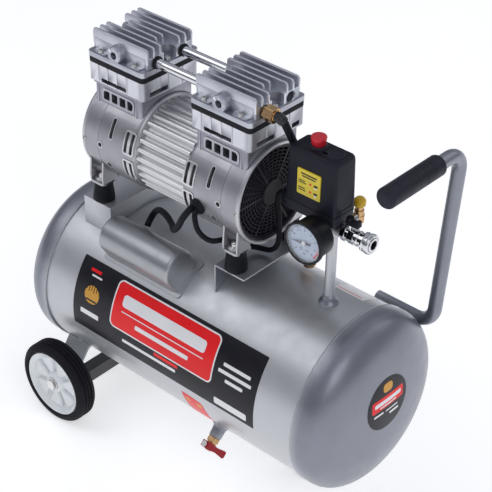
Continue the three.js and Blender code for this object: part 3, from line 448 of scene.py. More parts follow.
# ---------------------------------------------------------------- camera, floor and light
def build_stage():
    camera = bpy.data.objects.new("camera", bpy.data.cameras.new("camera"))
    azimuth, elevation, roll = (math.radians(v) for v in (41.2858912, 34.5754827, 1.01245541))
    right = Vector((math.cos(azimuth), math.sin(azimuth), 0))
    back = Vector((math.sin(azimuth) * math.cos(elevation), -math.cos(azimuth) * math.cos(elevation),
                   math.sin(elevation)))
    up = back.cross(right)
    side = right * math.cos(roll) + up * math.sin(roll)
    top = up * math.cos(roll) - right * math.sin(roll)
    turn = Matrix((side, top, back)).transposed().to_4x4()
    place = (1.124785, -1.238351, 1.280029 + LIFT * MM)
    camera.matrix_world = Matrix.Translation(place) @ turn
    focal_px, frame_px, sensor = 1518.4, 492.0, 36.0
    camera.data.sensor_width = sensor
    camera.data.lens = sensor * focal_px / frame_px
    camera.data.clip_end = 50.0
    SCENE.collection.objects.link(camera)
    SCENE.camera = camera

    reach = 24000
    corners = [(-reach, -reach, 0), (reach, -reach, 0), (reach, reach, 0), (-reach, reach, 0)]
    floor_mesh = raw_mesh("floor", (corners, [[0, 1, 2, 3]]))
    floor_mesh.transform(Matrix.Diagonal((MM, MM, MM, 1.0)))
    floor = bpy.data.objects.new("floor", floor_mesh)
    n = Nodes("floor")
    tone = n.blend(n.spread(n.noise(3.0, 4.0), 0.0, 1.0), (0.93, 0.93, 0.93), (0.96, 0.96, 0.96))
    n.link(tone, n.shader.inputs["Base Color"])
    n.shader.inputs["Roughness"].default_value = 0.7
    n.shader.inputs["Specular IOR Level"].default_value = 0.2
    n.shader.inputs["Emission Color"].default_value = (1.0, 1.0, 1.0, 1.0)
    n.shader.inputs["Emission Strength"].default_value = 0.50
    floor_mesh.materials.append(n.material)
    SCENE.collection.objects.link(floor)

    world = bpy.data.worlds.new("studio")
    world.use_nodes = True
    tree = world.node_tree
    ramp = tree.nodes.new("ShaderNodeValToRGB")
    for element, height_share, tone in zip(ramp.color_ramp.elements, (0.42, 0.97), (0.10, 0.60)):
        element.position = height_share
        element.color = (tone * 0.95, tone * 0.98, tone * 1.1, 1.0)
    split = tree.nodes.new("ShaderNodeSeparateXYZ")
    height = tree.nodes.new("ShaderNodeMapRange")
    height.inputs["From Min"].default_value = -1.0
    tree.links.new(tree.nodes.new("ShaderNodeTexCoord").outputs["Generated"], split.inputs["Vector"])
    tree.links.new(split.outputs["Z"], height.inputs["Value"])
    tree.links.new(height.outputs["Result"], ramp.inputs["Fac"])
    tree.links.new(ramp.outputs["Color"], tree.nodes["Background"].inputs["Color"])
    tree.nodes["Background"].inputs["Strength"].default_value = 0.85
    SCENE.world = world
    SCENE.view_settings.view_transform = "Standard"
    lights = [
        ("key", (-1.5, -1.3, 2.4), 1.6, 11.0),
        ("fill", (2.1, -1.1, 1.9), 1.5, 11.0),
        ("back", (0.9, 2.1, 1.9), 1.6, 6.0),
    ]
    for name, place, size, power in lights:
        data = bpy.data.lights.new(name, "AREA")
        data.size, data.energy = size, power
        lamp = bpy.data.objects.new(name, data)
        lamp.location = place
        aim = Vector((0.0, 0.0, 0.25)) - Vector(place)
        lamp.rotation_euler = aim.to_track_quat("-Z", "Y").to_euler()
        SCENE.collection.objects.link(lamp)


build_stage()


# ---------------------------------------------------------------- tank
TANK_R, HEAD_R, SEAM, SKIRT, TIP, HEAD_POWER = 125.0, 127.3, 228.5, 238.5, 288.8, 2.3


def head_radius(x):
    share = min(1.0, max(0.0, (x - SKIRT) / (TIP - SKIRT)))
    return HEAD_R * (1 - share ** HEAD_POWER) ** (1 / HEAD_POWER)


def head_x(distance):
    share = min(distance, HEAD_R) / HEAD_R
    return SKIRT + (TIP - SKIRT) * (1 - share ** HEAD_POWER) ** (1 / HEAD_POWER)


def tank_space(gap):
    """The room that the tank takes from the sheets that stand on it."""
    return rod("x", -300, 300, TANK_R + gap, sides=180)


def weld_bead(path, radius, sides=10, pitch=2.6):
    """A run of weld along the points: overlapping ripples."""
    path = [Vector(p) for p in path]
    run, radii = 0.0, []
    for i, p in enumerate(path):
        run += (p - path[i - 1]).length if i else 0.0
        ripple = 0.10 * math.sin(run / pitch * 2 * math.pi) + 0.06 * math.sin(run * 0.37)
        radii.append(radius * (1.0 + ripple))
    return sweep(path, radii, sides)


def build_tank():
    wall, end = 2.5, 236
    shell = [(-end, TANK_R - wall), (-end, TANK_R), (end, TANK_R), (end, TANK_R - wall)]
    riser_boss = lathe([(120, 0), (120, 13.6), (125.8, 13.4), (127.4, 13.0), (128.6, 11.8), (130.2, 10.2),
                        (133, 9.0), (136.4, 8.4), (137, 7.8), (137, 0)], "z", (179.6, 0), 48)
    drain_boss = lathe([(120, 0), (120, 13), (125.3, 12.6), (126.6, 11.2), (128.4, 9.8), (131, 9.2),
                        (142, 9.0), (143, 8), (143, 0)], "z", sides=48)
    drain_boss = shifted(turned_about(drain_boss, "X", 135), x=76)
    shape = merged(lathe(shell, "x", sides=180), riser_boss, drain_boss)
    piece("tank_shell_skin", shape, "paint", stands_for="tank_shell")

    post = [(-12, -118), (-10.6, -164.5), (10.6, -164.5), (12, -118)]
    piece("foot_post", prism(post, 133, 167, "x"), "paint", slot="tank_shell", bevel=1.5)

    depth = 15
    weld_r = TANK_R + 0.75
    profile = [(SEAM, HEAD_R - 2.0), (SEAM, HEAD_R - 0.5), (SEAM + 0.6, HEAD_R), (SKIRT, HEAD_R)]
    for k in range(1, 40):
        turn = (math.pi / 2) * k / 40
        x = SKIRT + (TIP - SKIRT) * math.sin(turn) ** 0.85
        profile.append((x, head_radius(x)))
    profile += [(TIP, 0), (TIP - 2.2, 0), (TIP - depth, 80), (SKIRT, HEAD_R - 2.0)]
    for name, side in (("right", 1), ("left", -1)):
        skin = [(side * x, r) for x, r in profile]
        piece(f"tank_head_{name}_skin", lathe(skin, "x", sides=180), "paint", stands_for=f"tank_head_{name}")
        turns = [2 * math.pi * k / 240 for k in range(241)]
        ring = [(side * (SEAM - 0.5), weld_r * math.cos(turn), weld_r * math.sin(turn)) for turn in turns]
        piece(f"seam_weld_{name}", weld_bead(ring, 2.0, 8, 6.5), "paint", slot="tank_shell", sharp=80)


def build_decals():
    """Plain printed panels: bars and blocks stand where the photographed ones carry words."""
    r = TANK_R
    deg = 180 / math.pi / r

    def layer(name, look, rows, low, high):
        layers.append((name, look, wrapped(rows, r + low, r + high)))

    def bar(x0, x1, low, high, corner=1.2, lift=0.3):
        return wrapped(patch_rows(x0, x1, low, high, corner, r, 2.0), r + 0.1, r + 0.1 + lift)

    layers = []
    layer("label_panel", "decal_black", patch_rows(-171, 164, -8.7, 40.5, 1.5, r), 0.02, 0.22)
    x0, x1, low, high = -97.0, 87.5, 7.0, 37.0
    grow = 2.2
    border = patch_rows(x0 - grow, x1 + grow, low - grow * deg, high + grow * deg, 9.0, r)
    layer("label_border", "decal_white", border, 0.1, 0.32)
    layer("label_plate", "decal_red", patch_rows(x0, x1, low, high, 7.0, r), 0.2, 0.42)
    white = [
        bar(-82, 70, 22.5, 30.5, 5.0, 0.5), bar(-80, 70, 18.9, 19.5, 0.3, 0.5),
        bar(-52, 46, 12.6, 15.4, 2.0, 0.5),
        bar(104, 150, 22.4, 24.6), bar(98, 154, 17.6, 19.8), bar(112, 142, 12.8, 15.0),
        bar(-156, -121, 3.2, 6.6), bar(-74, 26, -1.2, 1.0), bar(96, 152, -6.0, -1.0, 2.0),
        bar(-147, -128, 30.2, 31.4, 0.6),
    ]
    layers.append(("label_bars", "decal_white", merged(*white)))
    red = merged(bar(-152, -132, 33.0, 35.0), bar(-14, 30, 2.6, 5.0))
    layers.append(("label_marks_red", "decal_red", red))
    disc, disc_x, disc_angle, disc_r = [], -138, 18.4, 13.5
    for k in range(25):
        turn = math.pi * k / 24
        half = disc_r * math.sin(turn) + 0.01
        disc.append((disc_angle - disc_r * deg * math.cos(turn), disc_x - half, disc_x + half))
    layer("label_disc", "decal_gold", disc, 0.1, 0.42)
    cuts = [bar(-150 + 4.6 * k, -148.6 + 4.6 * k, 21.0 - (k % 2), 26.0 + (k % 3), 0.5, 0.42)
            for k in range(5)]
    cuts += [bar(-148, -128, 14.0, 15.2, 0.5, 0.42), bar(-146, -130, 11.6, 12.6, 0.5, 0.42)]
    layers.append(("label_disc_marks", "decal_black", merged(*cuts)))
    low_sticker = [(-36.0, 40.0, 76.0), (-30.0, 37.0, 74.5), (-24.0, 35.0, 73.0), (-18.0, 34.0, 70.5),
                   (-16.0, 33.5, 66.0), (-14.8, 33.0, 44.0)]
    layer("low_sticker", "decal_red", low_sticker, 0.02, 0.24)
    marks = [wrapped(rows, r + 0.1, r + 0.34) for rows in ([(-22.0, 60, 67), (-18.6, 57, 68)],
                                                           [(-21.4, 40, 47), (-18.0, 38, 45)])]
    layers.append(("low_sticker_marks", "decal_gold", merged(*marks)))
    layer("top_sticker", "decal_white", patch_rows(158, 206, 107.0, 126.0, 1.5, r), 0.02, 0.2)
    layer("top_sticker_line", "decal_red", patch_rows(161, 200, 109.6, 110.3, 0.3, r), 0.1, 0.28)
    for name, look, shape in layers:
        piece(name, shape, look, slot="tank_shell", sharp=60)
    build_head_disc()


def on_head(outline, lift, depth=0.25):
    """A printed patch laid on the domed right head; the outline is in YZ, fanned out from its middle."""
    middle = (sum(y for y, _ in outline) / len(outline), sum(z for _, z in outline) / len(outline))
    dense = []
    for (y0, z0), (y1, z1) in zip(outline, outline[1:] + outline[:1]):
        steps = max(1, math.ceil(math.hypot(y1 - y0, z1 - z0) / 2.5))
        dense += [(y0 + (y1 - y0) * k / steps, z0 + (z1 - z0) * k / steps) for k in range(steps)]
    outline = dense
    rings = 10
    points, faces = [], []
    for level in (lift, lift - depth):
        for ring in range(rings + 1):
            share = ring / rings
            for y, z in outline:
                y, z = middle[0] + (y - middle[0]) * share, middle[1] + (z - middle[1]) * share
                points.append((head_x(math.hypot(y, z)) + level, y, z))
    count, sheet = len(outline), (rings + 1) * len(outline)
    for ring in range(rings):
        for i in range(count):
            a, b = ring * count + i, ring * count + (i + 1) % count
            faces.append([a, b, b + count, a + count])
            faces.append([sheet + a + count, sheet + b + count, sheet + b, sheet + a])
    for i in range(count):
        a, b = rings * count + i, rings * count + (i + 1) % count
        faces.append([b, a, sheet + a, sheet + b])
    return points, faces


def build_head_disc():
    """The round printed disc on the right head: a black disc, a red band and plain bars."""
    cy, cz, radius = -7.0, 24.0, 39.0

    def band(y0, y1, z0, z1, corner, lift):
        centre = (cy + (y0 + y1) / 2, cz + (z0 + z1) / 2)
        return on_head(round_outline(y1 - y0, z1 - z0, corner, 4, centre), lift)

    turns = [math.radians(5 * k) for k in range(72)]
    ring = [(cy + radius * math.cos(turn), cz + radius * math.sin(turn)) for turn in turns]
    bars = [band(-26, 26, 3, 9, 2, 0.65), band(-16, 16, -1.6, 0.4, 0.9, 0.65),
            band(-27, -9, -12, -9, 0.9, 0.5), band(4, 22, -20, -16.4, 0.9, 0.5),
            band(-4, 20, -12, -10, 0.9, 0.5)]
    for name, look, shape in (("head_disc", "decal_black", on_head(ring, 0.35)),
                              ("head_disc_band", "decal_red", band(-31, 31, -4, 14, 3, 0.5)),
                              ("head_disc_bars", "decal_white", merged(*bars)),
                              ("head_disc_mark", "decal_gold", band(-9, 9, 19, 32, 5, 0.5))):
        piece(name, shape, look, slot="tank_head_right", sharp=60)


build_tank()
build_decals()

# ---------------------------------------------------------------- motor
MIDDLE, BARREL_HALF, HOUSING, SHELL_R = -55.0, 41.9, 98.0, 70.0


def ring_prism(outer, inner, a, b):
    """A tube along x between two outlines in YZ with the same number of points."""
    count = len(outer)
    points = [(x, *p) for x in (a, b) for ring in (outer, inner) for p in ring]
    faces = []
    for i in range(count):
        j = (i + 1) % count
        out_a, in_a, out_b, in_b = 0, count, 2 * count, 3 * count
        faces += [[out_a + i, out_a + j, out_b + j, out_b + i], [in_a + j, in_a + i, in_b + i, in_b + j],
                  [out_a + j, out_a + i, in_a + i, in_a + j], [out_b + i, out_b + j, in_b + j, in_b + i]]
    return points, faces


def both_fronts(shape):
    """The shape and its mirror behind the motor axis."""
    return merged(shape, mirrored(shape))


def motor_patch(x, width, low, high, inner, outer, corner=None):
    corner = width / 2 - 0.02 if corner is None else corner
    rows = patch_rows(x - width / 2, x + width / 2, low, high, corner, SHELL_R)
    return wrapped(rows, inner, outer, MOTOR_Z)


def build_housing(name, side):
    def at(u):
        return MIDDLE + side * (BARREL_HALF + u)

    profile = [(0, 40), (0, 63.5), (1.2, 66.2), (3.2, 68.6), (6, 69.8), (9, SHELL_R), (67.6, SHELL_R),
               (67.9, 69.45), (68.5, 69.45), (68.8, SHELL_R), (92.5, SHELL_R), (93.2, 70.6), (97.2, 70.6),
               (HOUSING, 70.0), (HOUSING, 67.4), (97.2, 66.8), (96.4, 66.0), (5, 66.0), (5, 40)]
    body = lathe([(at(u), r) for u, r in profile], "x", (0, MOTOR_Z), 160)
    low, high = 62.0, 74.0
    cutters = [motor_patch(at(45.6), 5.4, 13.5, 37, low, high)]
    rims = []
    for u in (17.3, 7.4):
        for a, b in ((6.5, 30), (-25, -3)):
            cutters.append(motor_patch(at(u), 5.0, a, b, low, high))
    for a, b in ((4.3, 32.2), (-27.2, -0.8)):
        rims.append(motor_patch(at(12.35), 19.5, a, b, 69.0, 70.75, 4.6))
    rims.append(motor_patch(at(45.6), 8.0, 12.2, 38.3, 69.0, 70.35))
    for u, angle, r in ((64.1, 1, 3.2), (52.6, -22.8, 4.2)):
        half = math.degrees(r / SHELL_R)
        rims.append(motor_patch(at(u), 2 * r + 3.4, angle - half - 1.4, angle + half + 1.4, 69.0, 70.5))
        cutters.append(motor_patch(at(u), 2 * r, angle - half, angle + half, low, high))
    cutters = both_fronts(merged(*cutters))
    rims = both_fronts(merged(*rims))
    piece(f"housing_{name}", body, "satin", stands_for=f"crankcase_{name}", unions=rims, cutters=cutters)
    # A thin black liner inside the housing: painted shade, so the inside seen through the slots and the guard
    # stays dark.
    shade_liner_shape = lathe([(at(8), 65.9), (at(96), 65.9), (at(96), 64.9), (at(8), 64.9)], "x", (0, MOTOR_Z), 96)
    piece(f"painted_shade_liner_{name}", shade_liner_shape, "plastic", slot=f"fan_guard_{name}")

    lug_u, half = 79.7, 13.0
    feet = []
    for front in (-1, 1):
        for u in (lug_u - half + 1.5, lug_u + half - 1.5):
            web = [(front * 37, 178.3), (front * 62.5, 178.3), (front * 64.5, 181), (front * 65.2, 190),
                   (front * 63.6, 216), (front * 55, 212), (front * 42, 195)]
            feet.append(prism(web, at(u) - 1.5, at(u) + 1.5, "x"))
        feet.append(prism(round_outline(26, 27, 6, centre=(at(lug_u), front * 52)), 178.3, 182.2))
        feet.append(lathe([(178.3, 0), (178.3, 11.4), (184.6, 10.6), (185.2, 9.8), (185.2, 0)], "z",
                          (at(lug_u), front * 52.4), 40))
    piece(f"housing_feet_{name}", merged(*feet), "satin", slot=f"crankcase_{name}", bevel=1.0, segments=3)
    for front, place in ((-1, "front"), (1, "rear")):
        stud = merged(lathe([(185.2, 0), (185.2, 8.4), (186.4, 8.4), (186.4, 0)], "z", sides=32),
                      shifted(dome_bolt(6.4, 6.0), z=186.4))
        piece(f"mount_bolt_{name}_{place}", shifted(stud, at(lug_u), front * 52.4), "zinc",
              slot=f"crankcase_{name}")
    screws = [shifted(turned_about(dome_bolt(3.0, 2.2), "X", 90), at(94), -SHELL_R + 0.2, MOTOR_Z),
              shifted(turned_about(dome_bolt(3.0, 2.2), "X", -90), at(94), SHELL_R - 0.2, MOTOR_Z)]
    piece(f"rim_screws_{name}", merged(*screws), "zinc", slot=f"crankcase_{name}")
    build_guard(name, at)


def build_guard(name, at):
    rings = []
    for r in (61.0, 56.2, 51.4, 46.6, 41.8, 37.0, 32.2, 27.4, 22.6):
        rings.append(lathe([(at(90.6), r - 0.65), (at(90.6), r + 0.65), (at(93), r + 0.5), (at(93), r - 0.5)],
                           "x", (0, MOTOR_Z), 72))
    rings.append(lathe([(at(89), 62.0), (at(89), 65.8), (at(95.4), 65.8), (at(95.8), 65.2), (at(94.6), 62.4),
                        (at(92.5), 62.0)], "x", (0, MOTOR_Z), 96))
    rings.append(lathe([(at(89.5), 0), (at(89.5), 18.4), (at(93.6), 18.4), (at(94.6), 17.2), (at(94.2), 12.0),
                        (at(94.2), 0)], "x", (0, MOTOR_Z), 48))
    count = 36
    for k in range(count):
        wide = 1.5 if k % 6 == 3 else 0.55
        low, high = sorted((at(90.2), at(93.4 if k % 6 == 3 else 92.6)))
        spoke = block((low, -wide, 17.5), (high, wide, 63.0))
        rings.append(shifted(turned_about(spoke, "X", 360 * k / count), z=MOTOR_Z))
    piece(f"guard_{name}", merged(*rings), "plastic", stands_for=f"fan_guard_{name}", sharp=30)


def build_barrel():
    fins, root, tip, inside = 32, 60.2, 66.5, 56.4
    shares = [0, 0.1, 0.2, 0.3, 0.36, 0.42, 0.5, 0.64, 0.78, 0.86, 0.92, 0.97]
    levels = [0.25, 0.06, 0.0, 0.06, 0.3, 0.72, 0.94, 1.0, 0.96, 0.82, 0.58, 0.4]
    outer, hole = [], []
    for i in range(fins):
        for share, level in zip(shares, levels):
            turn = 2 * math.pi * (i + share) / fins
            r = root + (tip - root) * level
            outer.append((math.cos(turn) * r, MOTOR_Z + math.sin(turn) * r))
            hole.append((math.cos(turn) * inside, MOTOR_Z + math.sin(turn) * inside))
    barrel = ring_prism(outer, hole, MIDDLE - BARREL_HALF + 0.3, MIDDLE + BARREL_HALF - 0.3)
    piece("finned_barrel", barrel, "barrel", stands_for="stator_barrel", sharp=50)


# ---------------------------------------------------------------- cylinders and heads
def build_cylinder(name, cx):
    neck = prism(round_outline(85, 96, 4, centre=(cx, 0)), 262, 329.5)
    upper = prism(round_outline(100, 102, 5, centre=(cx, 0)), 328.6, 354.2)
    lip = prism(round_outline(91, 100, 5, centre=(cx, 0)), 325.6, 329.0)
    ribs = []
    for front in (-1, 1):
        for dx in (-31, -14.5, 2.5, 20.5):
            low, high = sorted((front * 50.0, front * 51.8))
            ribs.append(block((cx + dx - 0.7, low, 329.4), (cx + dx + 0.7, high, 354.0)))
        for dx in (-36, 33.5):
            low, high = sorted((front * 47.0, front * 48.9))
            ribs.append(block((cx + dx - 0.8, low, 290), (cx + dx + 0.8, high, 327)))
        for dy in (-20, -4, 22):
            low, high = sorted((front * 49.0, front * 50.8))
            ribs.append(block((cx + low, dy - 0.7, 329.4), (cx + high, dy + 0.7, 354.0)))
    frame_rim = prism(round_outline(60, 19.5, 6, centre=(cx + 0.8, 311.8)), -48.9, -47.0, "y")
    shell = rod("x", cx - 60, cx + 60, SHELL_R + 0.35, (0, MOTOR_Z), 128)
    bore = rod("z", 250, 360, 31.0, (cx, 0), 48)
    windows = []
    shapes = [(-26, -15, [1, 1, 1, 5]), (-11, -0.5, 1.2), (3.5, 14.3, 1.2), (18, 27.5, [1, 4.6, 4.6, 1])]
    for front in (-1, 1):
        low, high = sorted((front * 60.0, front * 39.0))
        for x0, x1, r in shapes:
            hole = round_outline(x1 - x0, 12.8, r, centre=(cx + (x0 + x1) / 2, 311.8))
            windows.append(prism(hole, low, high, "y"))
        slot = round_outline(46, 5.6, 1.4, centre=(cx - 3.5, 333.8))
        windows.append(prism(slot, low, high, "y"))
        x_low, x_high = sorted((cx + front * 60, cx + front * 40.0))
        for y0, y1 in ((-39, -6), (27, 41)):
            side = round_outline(y1 - y0, 6.4, 1.2, centre=((y0 + y1) / 2, 334.5))
            windows.append(prism(side, x_low, x_high, "x"))
    body = merged(neck, upper, lip, *ribs, frame_rim)
    piece(f"cylinder_{name}", body, "cast", stands_for=f"cylinder_block_{name}",
          cutters=merged(shell, bore, *windows), bevel=0.7, segments=2)
    # A black block behind the cylinder windows: painted shade, so the inside seen through them stays dark.
    window_shade_block = block((cx - 39.5, -39.5, 304), (cx + 39.5, 39.5, 350))
    piece(f"jacket_{name}", window_shade_block, "plastic", slot=f"valve_plate_{name}", cutters=merged(shell, bore))

    plate = prism(round_outline(101.4, 104.4, 7, 6, (cx, 0)), 354.6, 362.1)
    piece(f"valve_plate_{name}_gasket", plate, "rubber", stands_for=f"valve_plate_{name}", bevel=0.6)


def head_fin(cx, reach, low, top, y, thick):
    """One fin with round upper corners; it thins towards its rounded top."""
    corner = 5.0
    layers = []
    for share, lean in ((-1.0, 1.0), (-0.86, 0.55), (-0.5, 0.12), (0.5, 0.12), (0.86, 0.55), (1.0, 1.0)):
        drop = lean * 0.9
        outline = [(cx - reach + drop, low), (cx + reach - drop, low)]
        for sx, start in ((1, 0), (-1, 90)):
            middle = (cx + sx * (reach - drop - corner), top - drop - corner)
            turns = [math.radians(start + 15 * k) for k in range(7)]
            outline += [(middle[0] + corner * math.cos(t), middle[1] + corner * math.sin(t)) for t in turns]
        layers.append([(x, y + share * thick / 2, z) for x, z in outline])
    return layered(layers)


def build_head(name, cx):
    half, side = 49.0, 42.0
    flange = prism(round_outline(102, 104, 6, 6, (cx, 0)), 362.6, 369.5)
    body = prism(round_outline(2 * half, 2 * side, 3, 4, (cx, 0)), 369.0, 385.5)
    pads = [prism(round_outline(24, 12, 4, 4, (cx + dx, -44)), 369.0, 371.4) for dx in (-30.5, 29.5)]
    boss = lathe([(-36, 0), (-36, 13.0), (-43.5, 12.2), (-45, 11.6), (-51.0, 11.4), (-52, 10.6), (-52, 0)],
                 "y", (cx - 1.5, 377.5), 48)
    cutters = [rod("y", -53, -38, 5.2, (cx - 1.5, 377.5), 32)]
    for end in (-1, 1):
        cutters.append(rod("z", 370.6, 402, 11.4, (cx + end * (half - 4.5), 0), 48))
        x0, x1 = sorted((cx + end * (half - 4.5), cx + end * (half + 6)))
        cutters.append(block((x0, -11.4, 370.6), (x1, 11.4, 402)))
        for y in (-24, 24):
            steps = ((-14, 0), (-14, 7.0), (-1.4, 7.0), (0.6, 8.8), (0.6, 0))
            mouth = [(cx + end * (half + out), r) for out, r in steps]
            cutters.append(lathe(mouth, "x", (y, 376), 40))
    piece(f"head_{name}", merged(flange, body, *pads), "head", stands_for=f"cylinder_head_{name}",
          unions=boss, cutters=merged(*cutters), bevel=0.9, segments=3)
    fins = []
    pitch = 11.4
    for i in range(8):
        y = (i - 3.5) * pitch
        reach = half - 17.5 if i in (3, 4) else half + 0.6
        low = 378 if i in (0, 7) else 384
        fins.append(head_fin(cx, reach, low, 399.0, y, 3.6))
    piece(f"head_fins_{name}", merged(*fins), "head", slot=f"cylinder_head_{name}", sharp=42)
    bolts = []
    for dx, dy in ((-30.5, -47.0), (29.5, -46.6), (-30.5, 46.6), (29.5, 46.6)):
        base = 371.2 if dy < 0 else 369.4
        bolts.append(shifted(dome_bolt(4.0, 3.8), cx + dx, dy * 0.985, base))
    for end in (-1, 1):
        bolts.append(shifted(dome_bolt(4.4, 4.2), cx + end * (half - 5.0), 0, 370.4))
    piece(f"head_bolts_{name}", merged(*bolts), "zinc", slot=f"cylinder_head_{name}")


def build_pump():
    for name, side in (("right", 1), ("left", -1)):
        build_housing(name, side)
    build_barrel()
    for name, cx in (("left", -146.5), ("right", 36.0)):
        build_cylinder(name, cx)
        build_head(name, cx)
    collars = []
    for name, y in (("front", -24), ("rear", 24)):
        pipe = rod("x", -104.5, -6.0, 6.4, (y, 376), 48)
        piece(f"air_pipe_{name}", pipe, "chrome", stands_for=f"transfer_pipe_{name}", bevel=0.4)
        for x0, x1 in ((-98.4, -94.2), (-16.2, -12.4)):
            collars.append(lathe([(x0, 6.5), (x0, 8.2), (x0 + 1, 8.6), (x1 - 1, 8.6), (x1, 8.0), (x1, 6.5)],
                                 "x", (y, 376), 40))
    piece("pipe_seals", merged(*collars), "rubber", slot="transfer_pipe_front")


build_pump()


# ---------------------------------------------------------------- hose and leads
def build_hose():
    fitting = merged(
        rod("x", 78, 89, 6.4, (-24, 376), 32),
        hexagon("x", 87.5, 103.0, 10.8, (-24, 376)),
        rod("x", 98.5, 104.3, 7.4, (-24, 376), 32))
    piece("hose_elbow", fitting, "brass", stands_for="hose_fitting", bevel=0.7, segments=2)
    route = [(104.8, -24, 376), (108.5, -24, 375.6), (112, -21, 371), (113, -14, 358), (110, 0, 336),
             (107, 13, 314), (106, 26, 285), (106.5, 36, 250), (107.5, 44, 210), (108, 47, 175),
             (108, 47, 150.4)]
    path = smooth_path(route, 220)
    ripples = [5.0 + 0.16 * math.sin(i * 1.9) for i in range(len(path))]
    piece("hose", sweep(path, ripples, 24), "rubber", stands_for="delivery_hose", sharp=70)
    crimp = path[2:44]
    crimp_radii = [6.4 + (0.45 if i % 8 < 4 else 0.0) for i in range(len(crimp))]
    piece("hose_crimp", sweep(crimp, crimp_radii, 24), "black_metal", slot="delivery_hose", sharp=30)
    nut = merged(rod("z", 123, 139, 8.0, (108, 47), 32), hexagon("z", 128, 150, 11.0, (108, 47)))
    piece("check_valve_body", nut, "brass", stands_for="check_valve", bevel=0.7)


def build_leads():
    angle = math.radians(-15.5)

    def out(shift, reach):
        return (14.5 + shift, -math.cos(angle) * reach, MOTOR_Z + math.sin(angle) * reach)

    collar = [(69.5, 0), (69.5, 11), (71.2, 11.4), (73, 11.0), (74.6, 9.6), (76, 8.4), (76, 0)]
    grommet = turned_about(mirrored(lathe(collar, "y", sides=40)), "X", 15.5)
    grommet = shifted(grommet, 14.5, 0, MOTOR_Z)
    piece("lead_grommet", grommet, "rubber", stands_for="cable_grommet")
    first = [out(-4.6, 76.3), out(-4.6, 81), (2, -83, 212), (-8, -81, 194), (-24, -73, 178), (-38, -62, 175),
             (-55, -54, 176), (-74, -46, 172), (-91, -38, 160), (-100, -37, 147), (-101, -43.5, 138),
             (-101, -45, 135)]
    piece("lead_to_capacitor", sweep(smooth_path(first, 120), 4.4, 20), "rubber",
          stands_for="capacitor_lead", sharp=70)
    second = [out(4.8, 76.3), out(4.8, 81), (26, -82, 208), (33, -77, 195), (41, -70, 189), (48, -54, 186),
              (50, -30, 168), (62, -8, 158), (82, -1, 160), (93, -1, 176), (95, -3, 215), (94, -5, 244),
              (96, -5, 254), (99.5, -5, 258), (102.9, -5, 258)]
    piece("lead_to_switch", sweep(smooth_path(second, 150), 3.6, 20), "rubber",
          stands_for="switch_lead", sharp=70)


build_hose()
build_leads()


# ---------------------------------------------------------------- pressure switch and gauge
def build_switch():
    cx, cy, width, depth = 156.0, 1.0, 79.0, 42.0

    def level(z, inset, corner, shift=0.0):
        outline = round_outline(width - 2 * inset, depth - 2 * inset, corner, 6, (cx + shift, cy))
        return [(x, y, z) for x, y in outline]

    cover = layered([level(266.3, 0.5, 4.0), level(266.9, 0.0, 4.5), level(334, 1.4, 5.0, 0.5),
                     level(338.4, 2.0, 5.2, 0.7), level(340.6, 3.0, 5.4, 0.7), level(341.7, 4.4, 5.0, 0.7),
                     level(342.0, 6.0, 4.4, 0.7)])
    recess = merged(block((194.9, -13, 272), (197, 15, 330)),
                    prism(round_outline(9, 4, 1.9, 6, (165.5, -5.0)), 338.5, 344))
    piece("switch_hood", cover, "switch", stands_for="switch_cover", cutters=recess, bevel=0.5, segments=2)
    base = layered([level(251.0, 2.4, 3.0), level(252.0, 1.0, 4.0), level(264.2, 0.0, 4.5),
                    level(265.7, 0.0, 4.5)])
    glands = []
    for y in (-5, 12):
        glands.append(lathe([(117, 0), (117, 8), (111, 8), (110.4, 7), (104.4, 7), (103.6, 6.2), (103.6, 3.7),
                             (112, 3.7), (112, 0)], "x", (y, 258), 32))
    piece("switch_tray", merged(base, *glands), "switch", stands_for="switch_base")
    collar = lathe([(341.5, 5.5), (341.5, 11.6), (343.2, 11.4), (344.2, 10.4), (344.2, 5.5)], "z",
                   (149, 2.5), 48)
    ring = lathe([(341.6, 9.4), (341.6, 10.6), (342.35, 10.4), (342.35, 9.6)], "z", (177, 2.0), 48)
    piece("switch_top_details", merged(collar, ring), "switch", slot="switch_cover")
    knob = lathe([(344.6, 0), (344.6, 8.6), (345.2, 9.1), (351.5, 9.6), (352.4, 10.0), (355.4, 10.0),
                  (356.2, 9.4), (356.4, 8.4), (355.6, 0)], "z", (149, 2.5), 48)
    stem = rod("z", 324, 345, 4.4, (149, 2.5), 32)
    piece("knob_cap", merged(knob, stem), "red", body="knob", stands_for="switch_knob")

    face = -20.55

    def printed(name, look, lift, patches):
        """Plain patches on the front of the cover: (x0, x1, z0, z1, corner) each."""
        shapes = []
        for x0, x1, z0, z1, corner in patches:
            outline = round_outline(x1 - x0, z1 - z0, corner, 3, ((x0 + x1) / 2, (z0 + z1) / 2))
            shapes.append(prism(outline, face - 0.1 - lift, face + 1.6, "y"))
        piece(name, merged(*shapes), look, slot="switch_cover")

    printed("switch_label", "label_yellow", 0.0, [(136.5, 172.5, 282, 317.5, 1.2)])
    printed("switch_label_bars", "decal_black", 0.1, [
        (142, 167, 311.0, 313.0, 0.5), (144, 165, 307.6, 309.4, 0.5), (138.5, 149, 301.0, 302.4, 0.4),
        (138.5, 150.5, 298.2, 299.6, 0.4), (138.5, 149, 290.8, 292.2, 0.4), (138.5, 150.0, 287.8, 289.2, 0.4),
        (162.5, 168.5, 299.6, 302.6, 0.6), (162.5, 168.5, 288.6, 291.6, 0.6)])
    printed("switch_label_dots", "decal_red", 0.1,
            [(155.6, 158.8, low, low + 3.6, 1.5) for low in (299.2, 288.2)])
    printed("switch_label_squares", "decal_white", 0.1,
            [(163.9, 167.1, low, low + 2.4, 0.5) for low in (296.6, 285.6)])


